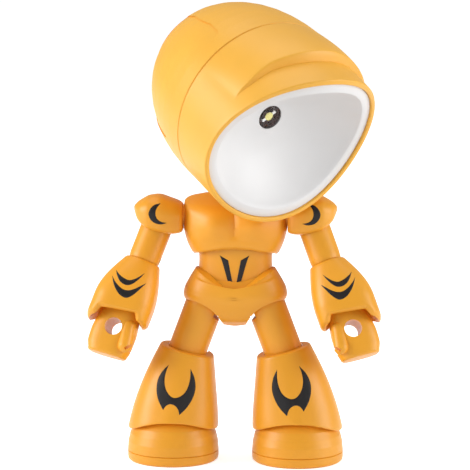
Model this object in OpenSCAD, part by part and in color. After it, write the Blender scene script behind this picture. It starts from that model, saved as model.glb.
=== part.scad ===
// Jointed figure lamp: a small standing figure whose large head is a battery lamp.
// Frame: +Z up, the figure faces -Y, its left side is +X, millimetres.
// The figure's own origin is on the floor under the middle of its trunk; body_y moves it so that
// the part's origin is under the middle of its outer box.

/* [Stance] */
// Turn of the head towards the figure's left
head_yaw = 36.5; // [32:0.5:38]
// Nod of the head below level
head_pitch = 22.9; // [20:0.1:26]
// Forward swing of both arms
arm_swing = 18; // [10:1:24]
// Outward lean of both arms
arm_splay = 20; // [18:0.5:23]
// Outward turn of both hands
hand_turn = 8; // [0:1:12]
// Outward lean of both thighs
thigh_splay = 20.5; // [18:0.5:23]
// Outward lean of both boots
boot_lean = 9; // [7:0.5:11]
// Distance of the trunk's middle plane behind the origin
body_y = 11; // [10:0.1:12]

/* [Head shells] */
// Outer radius of the head at the seam between front and rear shell
head_r = 26.55; // [25.5:0.05:28]
// Depth of the rear dome behind the seam
dome_len = 38.4; // [36:0.1:41]
// Fullness of the rear dome, 2 is an ellipse
dome_power = 2.2; // [2:0.05:2.6]
// Wall of both head shells
head_wall = 1.8; // [1.5:0.1:2.1]
// Reach of the rim in front of the seam, mean value
rim_reach = 19.1; // [18:0.1:21]
// How much further the rim reaches at the brow than at the chin
rim_rake = 5.9; // [5:0.1:6.5]
// How much further the rim reaches at brow and chin than at the sides
rim_dip = 2.8; // [2:0.1:3.2]
// Inner radius of the rim, mean value
rim_r = 24.2; // [23.4:0.1:24.6]
// How much narrower the rim is at the brow than at the chin
rim_narrow = 2.1; // [1.6:0.1:2.4]
// How much wider the rim is at the sides than at brow and chin
rim_wide = 0.7; // [0.4:0.1:0.9]
// Width of the rim band around the reflector
rim_wall = 1.35; // [1.2:0.05:1.6]
// Height of the rim lip in front of the reflector flange
lip_h = 0.6; // [0.4:0.1:0.9]
// Half angle of the brow ridge around the head
brow_span = 58.5; // [52:0.5:64]
// Height of the brow ridge above the shell
brow_rise = 2.6; // [2:0.1:3.4]
// Distance of the brow crest in front of the seam
brow_crest = 17.9; // [17:0.1:19]
// Depth of the side panels of the rear shell
panel_depth = 0.25; // [0.15:0.05:0.4]
// Spigot of the rear shell inside the front shell
spigot_len = 2.4; // [2:0.1:3]

/* [Reflector and light] */
// Width of the reflector's flat flange behind the rim
flange_w = 2.6; // [2:0.1:3.2]
// Wall of the reflector
reflector_wall = 1; // [0.8:0.1:1.2]
// Distance of the bowl's bottom in front of the seam
bowl_bottom = 5.2; // [4.6:0.1:6]
// Radius of the light window in the bowl's bottom
window_r = 3.6; // [3.2:0.1:4]
// Radius of the round circuit board
board_r = 7.5; // [7:0.1:8.5]
// Thickness of the circuit board
board_t = 1; // [0.8:0.1:1.6]
// Width of the light-emitting package
led_w = 3.5; // [3:0.1:3.8]
// Depth of the light-emitting package
led_d = 2.8; // [2.4:0.1:3.4]
// Radius of the phosphor spot
phosphor_r = 1.2; // [0.9:0.05:1.3]

/* [Battery and switch] */
// Radius of one button cell
cell_r = 5.8; // [5.4:0.1:5.8]
// Height of one button cell
cell_h = 5.4; // [4.2:0.1:5.4]
// Number of button cells in the stack
cell_count = 3; // [2:1:3]
// Radius of the battery door
door_r = 10.4; // [10.2:0.1:11]
// Radius of the push button
button_r = 3.1; // [2.6:0.1:3.6]
// Height of the push button above the dome
button_proud = 1; // [0.8:0.1:1.4]
// Travel of the push button
button_travel = 1; // [0.6:0.1:1.2]
// Side of the square switch unit
switch_w = 7; // [6:0.5:8]

/* [Neck] */
// Radius of the neck ball
ball_r = 4.5; // [4.2:0.1:4.6]
// Height of the neck ball above the chest's lower edge
ball_h = 25.6; // [25:0.1:27]
// Distance of the ball inside the head's outer radius
ball_inset = 6.6; // [6:0.1:7.2]
// Distance of the ball behind the seam
ball_behind = 5.4; // [5:0.1:6]
// Radius of the neck post
neck_r = 2.6; // [2.2:0.1:2.7]
// Radius of the neck spigot that turns in the chest
spigot_r = 3; // [2.6:0.1:3.2]
// Distance of the neck in front of the trunk's middle plane
neck_forward = 1.5; // [0.5:0.1:1.6]

/* [Chest] */
// Half width of the chest
chest_a = 14.85; // [14.4:0.05:15.4]
// Half depth of the chest
chest_b = 8.2; // [7.8:0.1:8.8]
// Height of the chest
chest_h = 17.2; // [16.8:0.1:17.8]
// Wall of the chest shells
chest_wall = 1.7; // [1.4:0.1:1.9]
// Rise of the front hem in the middle
chest_arch = 2.6; // [1.6:0.1:3.2]
// Drop of the hem all round the chest
chest_drop = 0.7; // [0.3:0.1:1]
// Height of the breast forms
breast = 1; // [0.6:0.1:1.2]

/* [Waist] */
// Half width of the abdomen
abdomen_a = 10.6; // [10:0.1:10.8]
// Half depth of the abdomen
abdomen_b = 6.6; // [6.3:0.1:6.7]
// Height of abdomen that shows between pelvis and chest
abdomen_show = 4.5; // [4:0.1:6]
// Radius of the waist post
waist_r = 3.5; // [3:0.1:3.8]

/* [Pelvis] */
// Half width of the pelvis at its side tips
pelvis_a = 14.9; // [14.6:0.1:15.4]
// Half depth of the pelvis
pelvis_b = 9; // [8.8:0.1:9.6]
// Height of the pelvis rim above the hip axis
pelvis_rise = 11; // [10.6:0.1:12]
// Depth of the dip in the front rim
pelvis_dip = 5; // [4:0.1:5]
// Radius of the leg openings
leg_hole_r = 11; // [10.6:0.1:11.4]

/* [Arms] */
// Height of the shoulder axis above the chest's lower edge
shoulder_h = 10.4; // [10:0.1:10.8]
// Distance of the arm's pivot from the middle plane
shoulder_x = 21.2; // [21:0.1:22]
// Reach of the shoulder pad outside its pivot
pad_out = 7.7; // [7.2:0.1:8.4]
// Half height of the shoulder pad
pad_half = 5.35; // [5.2:0.05:5.5]
// Half depth of the shoulder pad
pad_b = 7; // [6.6:0.1:7.3]
// Radius of the upper arm
arm_r = 4.5; // [4.2:0.1:4.6]
// Length of the upper arm from pivot to elbow axis
arm_len = 13.1; // [12.6:0.1:15]
// Radius of the peg that holds the shoulder pad in the chest
peg_r = 3; // [2.6:0.1:3.2]
// Half width of the gauntlet
gauntlet_a = 8.7; // [8.3:0.1:9.2]
// Half depth of the gauntlet
gauntlet_b = 8.1; // [7.8:0.1:8.8]
// Length of the gauntlet from the elbow axis to its lower edge
gauntlet_len = 21.2; // [20.6:0.1:23]
// Rise of the gauntlet's lower edge at front and back
gauntlet_arch = 3.6; // [2:0.1:4]
// Slant of the gauntlet's lower edge, longer on the outer side
gauntlet_slant = 1.3; // [0.8:0.1:1.6]
// Wall of the gauntlet's cuff
cuff_wall = 1.2; // [1:0.1:1.4]
// Radius of the wrist peg
wrist_r = 2.5; // [2:0.1:2.7]

/* [Hands] */
// Half width of the hand
hand_a = 6.4; // [6:0.1:6.8]
// Half depth of the hand
hand_b = 4.7; // [4.4:0.1:5.2]
// Distance of the hand's lower end from the elbow axis
hand_end = 30.3; // [29.8:0.1:32]
// Distance of the grip hole from the elbow axis
grip_at = 22.2; // [21.8:0.1:22.8]
// Radius of the grip hole
grip_r = 2.5; // [2:0.1:2.6]

/* [Legs] */
// Distance of the hip's pivot from the middle plane
hip_x = 8.95; // [8.8:0.05:9.2]
// Distance of the leg plane in front of the trunk's middle plane
leg_forward = 1.8; // [1.2:0.1:2.2]
// Radius of the thigh
thigh_r = 5.5; // [5.2:0.1:5.6]
// Length of the thigh from hip to knee axis
thigh_len = 14.5; // [14.2:0.1:16]
// Radius of the hip peg
hip_peg_r = 1.8; // [1.6:0.1:1.9]
// Length of the boot from knee to ankle axis
boot_len = 25.1; // [24.6:0.1:27]
// Half width of the boot at its hem
boot_a = 12.95; // [12.8:0.05:13.2]
// Half depth of the boot at its hem
boot_b = 12; // [11.8:0.1:12.4]
// Half width of the boot at its top
boot_top = 7.8; // [7.6:0.1:8.2]
// Rise of the boot's hem at the front
boot_arch = 3.2; // [1:0.1:3.6]
// Height of the ridge down the boot's front
boot_ridge = 0.5; // [0.2:0.1:0.8]

/* [Feet] */
// Radius of the foot
foot_r = 13.1; // [12.8:0.1:13.4]
// Height of the foot's dome above the floor
foot_h = 16; // [15.6:0.1:16.4]
// Height of the ankle axis above the floor
ankle_h = 6.5; // [6.2:0.1:7]
// Thickness of the sole
sole_h = 2.9; // [2.4:0.1:3.2]
// Wall of the foot's dome
foot_wall = 1.6; // [1.4:0.1:2]

/* [Fits and fasteners] */
// Radial clearance of a running fit
fit = 0.05; // [0.03:0.01:0.08]
// Gap between faces that move past each other
gap = 0.35; // [0.3:0.01:0.4]
// Radius of the hinge pins
pin_r = 0.95; // [0.8:0.05:1.1]
// Thickness of a hinge tongue
tongue_t = 3.2; // [2.8:0.1:3.4]
// Shank radius of the small screws
screw_r = 0.7; // [0.6:0.05:0.8]
// Head radius of the small screws
screw_head_r = 1.4; // [1.2:0.1:1.6]

/* [Hidden] */
$fn = 64;

// Colours
HEAD_YELLOW = "#F2A83A";
BODY_YELLOW = "#F5A524";
BLACK = "#24211F";
WHITE = "#F4F4F2";
STEEL = "#B9BCC0";
AMBER = "#E9C23B";
CLEAR = "#DDE6EA";

// Places that follow from the driving dimensions, in the figure's own frame
LEFT = 1;
RIGHT = -1;
big = 200;
leg_y = -leg_forward;
neck_y = -neck_forward;
knee_x = hip_x + thigh_len * sin(thigh_splay);
foot_x = knee_x + boot_len * sin(boot_lean);
knee_z = ankle_h + boot_len * cos(boot_lean);
hip_z = knee_z + thigh_len * cos(thigh_splay);
rim_z = hip_z + pelvis_rise;
chest_z = rim_z + abdomen_show;
chest_top = chest_z + chest_h;
shoulder_z = chest_z + shoulder_h;
ball_z = chest_z + ball_h;
pelvis_y = leg_y + 0.6;

// ---- shape helpers ----

// Point of a superellipse with half sizes a and b at angle t
function super(a, b, n, t) =
    [a * sign(cos(t)) * pow(abs(cos(t)), 2 / n), b * sign(sin(t)) * pow(abs(sin(t)), 2 / n)];
function mix(a, b, f) = a + (b - a) * f;
function mean(ring) = [for (k = [0:2]) [for (p = ring) p[k]] * [for (p = ring) 1] / len(ring)];

// Closed solid through a list of rings that all have the same number of points
module skin(rings) {
    n = len(rings[0]);
    m = len(rings);
    points = [for (ring = rings) each ring, mean(rings[0]), mean(rings[m - 1])];
    sides = [for (j = [0:m - 2], i = [0:n - 1]) let (k = (i + 1) % n)
        each [[j * n + i, (j + 1) * n + i, (j + 1) * n + k], [j * n + i, (j + 1) * n + k, j * n + k]]];
    caps = [for (i = [0:n - 1]) let (k = (i + 1) % n)
        each [[m * n, i, k], [m * n + 1, (m - 1) * n + k, (m - 1) * n + i]]];
    polyhedron(points = points, faces = concat(sides, caps));
}

// Ring-shaped solid: the last ring joins the first one again
module skin_loop(rings) {
    n = len(rings[0]);
    m = len(rings);
    points = [for (ring = rings) each ring];
    polyhedron(points = points, faces = [for (j = [0:m - 1], i = [0:n - 1])
        let (k = (i + 1) % n, up = ((j + 1) % m) * n)
        each [[j * n + i, up + i, up + k], [j * n + i, up + k, j * n + k]]]);
}

module along_x() { rotate([0, 90, 0]) children(); }
module along_y() { rotate([-90, 0, 0]) children(); }
module figure() { translate([0, body_y, 0]) children(); }
module on_side(side) { mirror([side > 0 ? 0 : 1, 0, 0]) children(); }

// Rod along X or Y, centred on the origin
module rod_x(r, len) { along_x() cylinder(r = r, h = len, center = true); }
module rod_y(r, len) { along_y() cylinder(r = r, h = len, center = true); }

// Plate across X from an outline in Y and Z, and across Y from an outline in X and Z
module plate_x(t) { rotate([90, 0, 90]) linear_extrude(t, center = true) children(); }
module plate_y(t) { rotate([90, 0, 0]) linear_extrude(t, center = true) children(); }

// Outline of a disc with a band of half width w that leaves it in all directions from d0 to d1
function fan(r, w, d0, d1, reach, n = 10) = let (b = asin(w / r)) concat(
    [for (k = [0:n]) let (a = mix(d1 + b, d0 - b + 360, k / n)) [r * cos(a), r * sin(a)]],
    [[reach * cos(d0) + w * sin(d0), reach * sin(d0) - w * cos(d0)],
        [reach * cos(d1) - w * sin(d1), reach * sin(d1) + w * cos(d1)]]);

// Rod of radius r from the origin down to -len with round ends, as one turned piece
module capsule(r, len) {
    rotate_extrude() polygon(concat([for (a = [90:-15:0]) [r * cos(a), r * sin(a)]],
        [for (a = [0:-15:-90]) [r * cos(a), r * sin(a) - len]]));
}

// Small pan-head screw: the head's underside is at the origin, the shank runs towards -Z
module screw(len) {
    difference() {
        union() {
            translate([0, 0, -len]) cylinder(r = screw_r, h = len);
            cylinder(r = screw_head_r, h = 0.7);
        }
        for (a = [0, 90]) rotate(a) translate([0, 0, 0.6])
            cube([1.6, 0.35, 0.7], center = true);
    }
}

// ---- head ----

// Frame of the head: Z runs forward along the head's axis from the seam, Y is up
module at_head() {
    figure() translate([0, neck_y, ball_z]) rotate([0, 0, head_yaw]) rotate([head_pitch, 0, 0])
        translate([0, -ball_behind, ball_below]) rotate([90, 0, 0]) children();
}
ball_below = head_r - ball_inset;
module at_ball() { translate([0, -ball_below, -ball_behind]) children(); }

head_sides = 44;
seam_bevel = 0.35;

// Rim outline around the head, at angle a from the top
function rim_s(a) = rim_reach + rim_rake * cos(a) + rim_dip * cos(2 * a) - 0.3 * cos(3 * a);
function rim_in(a) = rim_r - rim_narrow * cos(a) - rim_wide * cos(2 * a);
function off_top(a) = abs(a > 180 ? a - 360 : a);
function brow(a) = off_top(a) < brow_span ? pow(cos(90 * off_top(a) / brow_span), 0.8) : 0;
function rim_out(a) = rim_in(a) + rim_wall + 0.3 * brow(a);
// Shell surface without the brow, at distance s from the seam
function plain(s, a) = mix(head_r, rim_out(a), s / rim_s(a));
function crease_s(a) = min(rim_s(a) - 1.6,
    mix(rim_reach - 1.1, brow_crest + 5.8, pow(cos(min(90, off_top(a) * 90 / (brow_span + 4))), 2.3)));
function crest_s(a) = min(crease_s(a) - 2,
    brow_crest - 1.4 * (1 - max(0, cos(min(90, off_top(a) * 3)))));
function shell_r(s, a) = plain(s, a)
    + brow_rise * brow(a) * sin(90 * min(1, s / crest_s(a)));
function head_ring(s_of, r_of) = [for (i = [0:head_sides - 1]) let (a = 360 * i / head_sides)
    [r_of[i] * sin(a), r_of[i] * cos(a), s_of[i]]];
function around(f) = [for (i = [0:head_sides - 1]) f(360 * i / head_sides)];
function mid_ring(k) = head_ring(around(function (a) crest_s(a) * k),
    around(function (a) shell_r(crest_s(a) * k, a)));
// Ring of the concave fold under the brow, at share u of the way from its crest to the crease
function fold_ring(u) = let (at = function (a) mix(crest_s(a), crease_s(a), u))
    head_ring(around(at), around(function (a) plain(at(a), a) + brow_rise * brow(a) * pow(1 - u, 2.1)));
function inner_ring(k) = head_ring(around(function (a) crest_s(a) * k),
    around(function (a) shell_r(crest_s(a) * k, a) - head_wall));

// Visor-like front shell with brow, rim lip and a ledge for the reflector
module head_front_shell() {
    ledge = 1;
    seat_s = function (a) rim_s(a) - reflector_wall;
    rings = [
        head_ring(around(function (a) 0), around(function (a) head_r - seam_bevel)),
        head_ring(around(function (a) seam_bevel), around(function (a) shell_r(seam_bevel, a))),
        mid_ring(0.36), mid_ring(0.7), mid_ring(1), fold_ring(0.28), fold_ring(0.6), fold_ring(1),
        head_ring(around(function (a) rim_s(a)), around(function (a) rim_out(a))),
        head_ring(around(function (a) rim_s(a) + lip_h), around(function (a) rim_out(a) - 0.45)),
        head_ring(around(function (a) rim_s(a) + lip_h), around(function (a) rim_in(a) + 0.3)),
        head_ring(around(function (a) rim_s(a) + lip_h / 2), around(function (a) rim_in(a))),
        head_ring(around(seat_s), around(function (a) rim_in(a))),
        head_ring(around(seat_s), around(function (a) rim_in(a) - ledge)),
        head_ring(around(function (a) seat_s(a) - 1.2), around(function (a) rim_in(a) - ledge)),
        inner_ring(1), inner_ring(0.7), inner_ring(0.36),
        head_ring(around(function (a) 0), around(function (a) head_r - head_wall))];
    color(HEAD_YELLOW) at_head() difference() {
        skin_loop([for (k = [len(rings) - 1:-1:0]) rings[k]]);
        neck_opening();
    }
}

// Half profile of the dome, grown inwards by t
function dome_profile(t) = [for (i = [0:14]) let (q = super(head_r - t, dome_len - t, dome_power, 90 * i / 14))
    [max(0, q[0]), -q[1]]];
module dome_solid(t) { rotate_extrude() polygon(concat([[0, 0]], dome_profile(t))); }

// Slot in which the neck post swings as the head nods
nod = [0, 35];
module neck_opening() {
    r = neck_r + gap;
    at_ball() plate_x(2 * r)
        polygon(fan(r, r, 180 - head_pitch + nod[0] - 1, 180 - head_pitch + nod[1] + 1, 14));
}

socket_r = ball_r + fit;
boss_r = ball_r + 2.9;
retainer_screw_x = ball_r + 1.65;

// Frame of the battery compartment: Z points out through the door
door_from = 8;
module at_door() { translate([0, 0, -door_from]) rotate([135, 0, 0]) children(); }
tube_r = cell_r + 0.3;
tube_wall = 1;
contact_t = 0.3;
leaf_room = 1.67;
plug_in = 1.2;
door_skin = 1.8;
seat_t = 1.4;
door_screw_y = -(tube_r + tube_wall + screw_r + 0.3);

// Height along the door's axis at which the dome lies above the point y beside the axis
function door_gap(t, y) = pow(abs(t + y) * sin(45) / head_r, dome_power)
    + pow(abs(door_from + (t - y) * cos(45)) / dome_len, dome_power) - 1;
function find_door(lo, hi, y, n) = n == 0 ? (lo + hi) / 2
    : door_gap((lo + hi) / 2, y) > 0 ? find_door(lo, (lo + hi) / 2, y, n - 1)
    : find_door((lo + hi) / 2, hi, y, n - 1);
door_out = find_door(0.3 * dome_len, dome_len, 0, 24);
door_screw_z = find_door(0.3 * dome_len, dome_len, door_screw_y, 24) - 1;
door_plug_z = door_out - door_skin - plug_in;
cells_at = door_plug_z - leaf_room - cell_count * cell_h;
tube_start = cells_at - contact_t - tube_wall;

button_hole_r = button_r + 0.1;
unit_front = dome_len - head_wall - 2.8;

// Dome of the rear shell with its spigot, ball socket, battery tube and switch boss
module head_rear_shell() {
    color(HEAD_YELLOW) at_head() difference() {
        union() {
            difference() {
                rotate_extrude() polygon(concat(
                    [[0, 0], [head_r - seam_bevel, 0], [head_r, -seam_bevel]],
                    [for (q = dome_profile(0)) if (q[1] < -2 * seam_bevel) q]));
                translate([0, 0, 0.01]) dome_solid(head_wall);
            }
            spigot();
            intersection() {
                at_ball() rotate([90, 0, 0]) cylinder(r = boss_r, h = 12);
                union() {
                    dome_solid(0.6);
                    translate([0, 0, -0.5])
                        cylinder(r = head_r - head_wall - 0.1, h = spigot_len + 0.5);
                }
            }
            intersection() {
                at_door() difference() {
                    union() {
                        translate([0, 0, tube_start])
                            cylinder(r = tube_r + tube_wall, h = door_out - tube_start);
                        translate([0, 0, door_out - 8]) cylinder(r = door_r + 2, h = 12);
                    }
                    translate([0, 0, tube_start + tube_wall]) cylinder(r = tube_r, h = 40);
                }
                difference() {
                    dome_solid(head_wall / 2);
                    difference() {
                        dome_solid(head_wall + seat_t);
                        at_door() cylinder(r = tube_r + tube_wall, h = 40);
                    }
                }
            }
            translate([0, 0, -dome_len + head_wall / 2])
                cylinder(r = switch_w / 2 + 2, h = 2.8 + head_wall / 2);
        }
        at_ball() sphere(r = socket_r);
        neck_opening();
        at_ball() for (x = [-1, 1]) translate([x * retainer_screw_x, 0, 0])
            rotate([90, 0, 0]) translate([0, 0, -1]) cylinder(r = screw_r, h = 5);
        door_cut();
        at_door() translate([0, door_screw_y, 15]) cylinder(r = screw_r, h = 20);
        translate([0, 0, -dome_len - 1]) cylinder(r = button_hole_r, h = 8);
        translate([0, 0, -unit_front - 2.8])
            cylinder(r = button_r + 1, h = 4);
        panels();
    }
}

module spigot() {
    rotate_extrude() polygon([[head_r - head_wall - 1.4, -3], [head_r - head_wall + 0.3, -3],
        [head_r - head_wall + 0.3, 0], [head_r - head_wall - 0.25, 0],
        [head_r - head_wall - 0.25, spigot_len], [head_r - head_wall - 1.4, spigot_len]]);
}

// Opening for the door, down to the ring that the door rests on
module door_cut() {
    intersection() {
        at_door() cylinder(r = door_r + 0.15, h = 60);
        difference() {
            cube(4 * dome_len, center = true);
            dome_solid(door_skin + fit);
        }
    }
}

// Shallow side panels, cut as a step into the dome
module panels() {
    top = head_r - 5.2;
    end = dome_len - 6.4;
    intersection() {
        difference() {
            cube(4 * dome_len, center = true);
            dome_solid(panel_depth);
        }
        along_x() translate([0, 0, -big / 2]) linear_extrude(big) offset(3) offset(-3)
            polygon([[8.7, -13], [3.2, top - 5.5], [5.2, top], [12, top - 0.4], [22.5, top - 3],
                [end, top - 7.5], [end, -9], [end - 7, -13]]);
        difference() {
            cube(4 * dome_len, center = true);
            cube([16, big, big], center = true);
        }
    }
}

// Round door that follows the dome, with a plug that centres it in the battery tube
module battery_door() {
    color(HEAD_YELLOW) at_head() difference() {
        union() {
            intersection() {
                difference() {
                    dome_solid(0);
                    dome_solid(door_skin);
                }
                at_door() cylinder(r = door_r, h = 2 * dome_len);
            }
            intersection() {
                dome_solid(door_skin / 2);
                at_door() translate([0, 0, door_plug_z]) cylinder(r = tube_r - gap, h = dome_len / 4);
            }
        }
        at_door() translate([0, door_screw_y, door_screw_z - 2 * door_skin])
            cylinder(r = screw_r + 0.15, h = dome_len);
        at_door() translate([0, door_screw_y, door_screw_z]) cylinder(r = screw_head_r + 0.2, h = dome_len);
    }
}

module door_screw() {
    color(STEEL) at_head() at_door() translate([0, door_screw_y, door_screw_z]) screw(2.6);
}

module button_cells() {
    color(STEEL) at_head() at_door() for (i = [0:cell_count - 1])
        translate([0, 0, cells_at + i * cell_h]) {
            cylinder(r = cell_r, h = cell_h * 0.72);
            translate([0, 0, cell_h * 0.72]) cylinder(r = cell_r - 0.9, h = cell_h * 0.28);
        }
}

module cell_contact_plate() {
    color(STEEL) at_head() at_door() translate([0, 0, tube_start + tube_wall])
        cylinder(r = cell_r - 0.6, h = contact_t);
}

// Bent leaf between the last cell and the door
module cell_contact_leaf() {
    z0 = cells_at + cell_count * cell_h;
    z1 = door_plug_z;
    leaf = 0.25;
    color(STEEL) at_head() at_door() rotate([90, 0, 0]) linear_extrude(4, center = true)
        polygon([[-4, z1 - leaf], [-1, z0], [1, z0], [4, z1 - leaf], [4, z1],
            [1, z0 + leaf], [-1, z0 + leaf], [-4, z1]]);
}

module switch_unit() {
    color(BLACK) at_head() difference() {
        translate([-switch_w / 2, -switch_w / 2, -unit_front]) cube([switch_w, switch_w, 6]);
        translate([0, 0, -unit_front - 1]) cylinder(r = 1.3, h = 4);
    }
}

module switch_button() {
    crown = 0.4;
    stem_r = 1.2;
    flange_at = -dome_len + head_wall + 0.3;
    color(BLACK) at_head() rotate_extrude() polygon([
        [0, -dome_len - button_proud], [button_r - crown, -dome_len - button_proud],
        [button_r, -dome_len - button_proud + crown], [button_r, flange_at],
        [button_r + 0.7, flange_at], [button_r + 0.7, flange_at + 0.8],
        [stem_r, flange_at + 0.8], [stem_r, -unit_front + 1.2], [0, -unit_front + 1.2]]);
}

module ball_retainer() {
    color(BLACK) at_head() at_ball() difference() {
        union() {
            rotate([-90, 0, 0]) cylinder(r = boss_r, h = 3);
            rotate([-90, 0, 0]) cylinder(r = ball_r + 1.2, h = ball_r + 1.2);
        }
        sphere(r = socket_r);
        for (x = [-1, 1]) translate([x * retainer_screw_x, 0, 0]) rotate([-90, 0, 0]) {
            translate([0, 0, -1]) cylinder(r = screw_r + 0.1, h = 5);
            translate([0, 0, 2]) cylinder(r = screw_head_r + 0.15, h = 6);
        }
    }
}

module retainer_screws() {
    color(STEEL) at_head() at_ball() for (x = [-1, 1])
        translate([x * retainer_screw_x, 2, 0]) rotate([-90, 0, 0]) screw(5);
}

// ---- reflector and light ----

function bowl_ring(f, out) = [for (i = [0:head_sides - 1]) let (a = 360 * i / head_sides,
    edge_r = rim_in(a) - flange_w, edge_s = rim_s(a) - 0.15,
    r = mix(window_r + 0.15, edge_r, f) + out, s = mix(bowl_bottom, edge_s, f * f) - out)
    [r * sin(a), r * cos(a), s]];
function flange_ring(s_off, r_off) = head_ring(around(function (a) rim_s(a) + s_off),
    around(function (a) rim_in(a) + r_off));
board_top = bowl_bottom - reflector_wall - 0.5;

module reflector() {
    steps = 5;
    w = reflector_wall * 0.8;
    lip = function (s) [for (i = [0:head_sides - 1]) let (a = 360 * i / head_sides)
        [(window_r - 0.7) * sin(a), (window_r - 0.7) * cos(a), s]];
    rings = concat([lip(bowl_bottom - w), lip(bowl_bottom)],
        [for (k = [0:steps]) bowl_ring(k / steps, 0)],
        [flange_ring(-0.02, -0.3), flange_ring(-0.15, -0.1), flange_ring(-reflector_wall + 0.02, -0.1),
            flange_ring(-reflector_wall + 0.02, -flange_w + w)],
        [for (k = [steps - 1:-1:0]) bowl_ring(k / steps, w)]);
    color(WHITE) at_head() difference() {
        union() {
            skin_loop(rings);
            for (x = [-1, 1]) translate([x * (board_r - 1.7), 0, board_top])
                cylinder(r = 1.4, h = 2);
            translate([0, 0, board_top]) cylinder(r = window_r + 1.3, h = bowl_bottom - w / 2 - board_top);
        }
        cylinder(r = window_r, h = bowl_bottom + 1);
        for (x = [-1, 1]) translate([x * (board_r - 1.7), 0, board_top - 1])
            cylinder(r = screw_r, h = 2.4);
    }
}

module light_board() {
    color(BLACK) at_head() translate([0, 0, board_top - board_t]) difference() {
        cylinder(r = board_r, h = board_t);
        for (x = [-1, 1]) translate([x * (board_r - 1.7), 0, -1]) cylinder(r = screw_r + 0.1, h = 4);
    }
}

module board_screws() {
    color(STEEL) at_head() for (x = [-1, 1])
        translate([x * (board_r - 1.7), 0, board_top - board_t]) rotate([180, 0, 0]) screw(2.2);
}

package_t = 0.7;
module light_package() {
    color(AMBER) at_head() translate([0, 0, board_top]) {
        translate([-led_w / 2, -led_d / 2, 0]) cube([led_w, led_d, package_t]);
        translate([0, 0, package_t]) cylinder(r = phosphor_r, h = 0.15);
    }
}

// Clear cap that closes the window over the package
module light_lens() {
    color(CLEAR, 0.4) at_head() rotate_extrude() polygon(concat(
        [[window_r - fit, bowl_bottom - 0.5], [window_r - fit, bowl_bottom - 0.1]],
        [for (a = [15:15:90]) [(window_r - 0.3) * cos(a), bowl_bottom - 0.1 + 0.7 * sin(a)]],
        [[0, bowl_bottom - 0.5]]));
}

// ---- neck ----

neck_boss_r = spigot_r + 1.6;
neck_boss_h = 6.2;
step_h = 3.4;
step_r = spigot_r - 0.8;
module at_neck() { figure() translate([0, neck_y, 0]) children(); }

// Post with the ball, and a stepped spigot that stands on a shoulder in the chest's neck bore
module neck_post() {
    foot = chest_top - neck_boss_h + 0.1;
    color(BLACK) at_neck() difference() {
        union() {
            translate([0, 0, ball_z]) sphere(r = ball_r);
            rotate_extrude() polygon([[0, foot], [step_r, foot], [step_r, chest_top - step_h],
                [spigot_r, chest_top - step_h], [spigot_r, chest_top + 0.1],
                [neck_r, chest_top + 0.3], [neck_r, ball_z], [0, ball_z]]);
        }
        translate([0, 0, foot - 1]) cylinder(r = screw_r, h = 6);
    }
}

module neck_screw() {
    color(STEEL) at_neck() translate([0, 0, chest_top - neck_boss_h + 0.1]) rotate_extrude() polygon([
        [0, -1.3], [screw_r + 0.7, -1.3], [screw_r + 0.7, -0.9], [spigot_r + 0.6, -0.9],
        [spigot_r + 0.6, -0.15], [screw_r, -0.15], [screw_r, 4.6], [0, 4.6]]);
}

// ---- chest ----

chest_sides = 40;
// Stations up the chest: height share, width share, front and back as shares of the half depth.
// The top leans back so that the chin of the head finds room above the breast.
chest_stations = [[0, 0.815, -1.05, 1.05], [0.05, 0.85, -1.07, 1.07], [0.3, 0.975, -1.08, 1.08],
    [0.45, 1, -1.08, 1.08], [0.6, 1, -1.04, 1.06], [0.7, 1, -0.95, 1.02], [0.78, 0.995, -0.77, 0.95],
    [0.86, 0.985, -0.46, 0.87], [0.94, 0.87, -0.08, 0.72], [0.99, 0.6, 0.12, 0.48]];
// Breast forms: two rounded swellings with a groove between them
breast_w = 12;
groove_w = 0.8;
function swelling(x, f) = f < 0.2 || f > 0.85 ? 0
    : breast * sin(180 * (f - 0.2) / 0.65)
        * (1.1 * pow(sin(min(180, 180 * abs(x) / breast_w)), 2) - 0.7 * exp(-pow(x / groove_w, 2)));
// The front hem rises in the middle, and the shoulders fall off towards the sides
function chest_lift(x, y, f) =
    f < 0.1 ? (y < 0 ? chest_arch * pow(max(0, cos(x * 90 / chest_a)), 1.5) : 0) - chest_drop
    : f < 0.8 ? 0 : -0.05 * abs(x) * (f - 0.8) / 0.2;
function chest_ring(st, t) = [for (i = [0:chest_sides - 1])
    let (q = super(chest_a * st[1] - t, chest_b * (st[3] - st[2]) / 2 - t, 2.5, 360 * i / chest_sides))
    [q[0], chest_b * (st[2] + st[3]) / 2 + q[1] - (q[1] < 0 ? swelling(q[0], st[0]) : 0),
        chest_z + chest_h * st[0] + (t > 0 ? 0 : chest_lift(q[0], q[1], st[0]))]];

module chest_form() { skin([for (st = chest_stations) chest_ring(st, 0)]); }
module chest_hollow() {
    skin([for (st = [for (s = chest_stations) if (s[0] > 0.2 && s[0] < 0.9) s]) chest_ring(st, chest_wall)]);
}

abdomen_in = 5.4;
abdomen_top = chest_z + abdomen_in;
web_z = abdomen_top + gap;
web_t = 1.7;
peg_flange_r = peg_r + 1.1;
peg_flange_t = 1.4;
peg_hold = 5.4;
peg_in = chest_a - peg_hold;
chest_screw_down = 4;
chest_screw_at = [neck_boss_r + 2.2, chest_top - chest_screw_down];
chest_screw_boss = 1.6;
chest_screw_y = 3.4;
chest_screw_bite = 3;

// Recess in which the top of the abdomen turns
module abdomen_recess() {
    skin([for (z = [chest_z - 3, web_z]) [for (i = [0:chest_sides - 1])
        let (q = super(abdomen_a + 0.9, abdomen_b + 1.3, abdomen_power, 360 * i / chest_sides))
        [q[0], q[1], z]]]);
}

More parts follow.
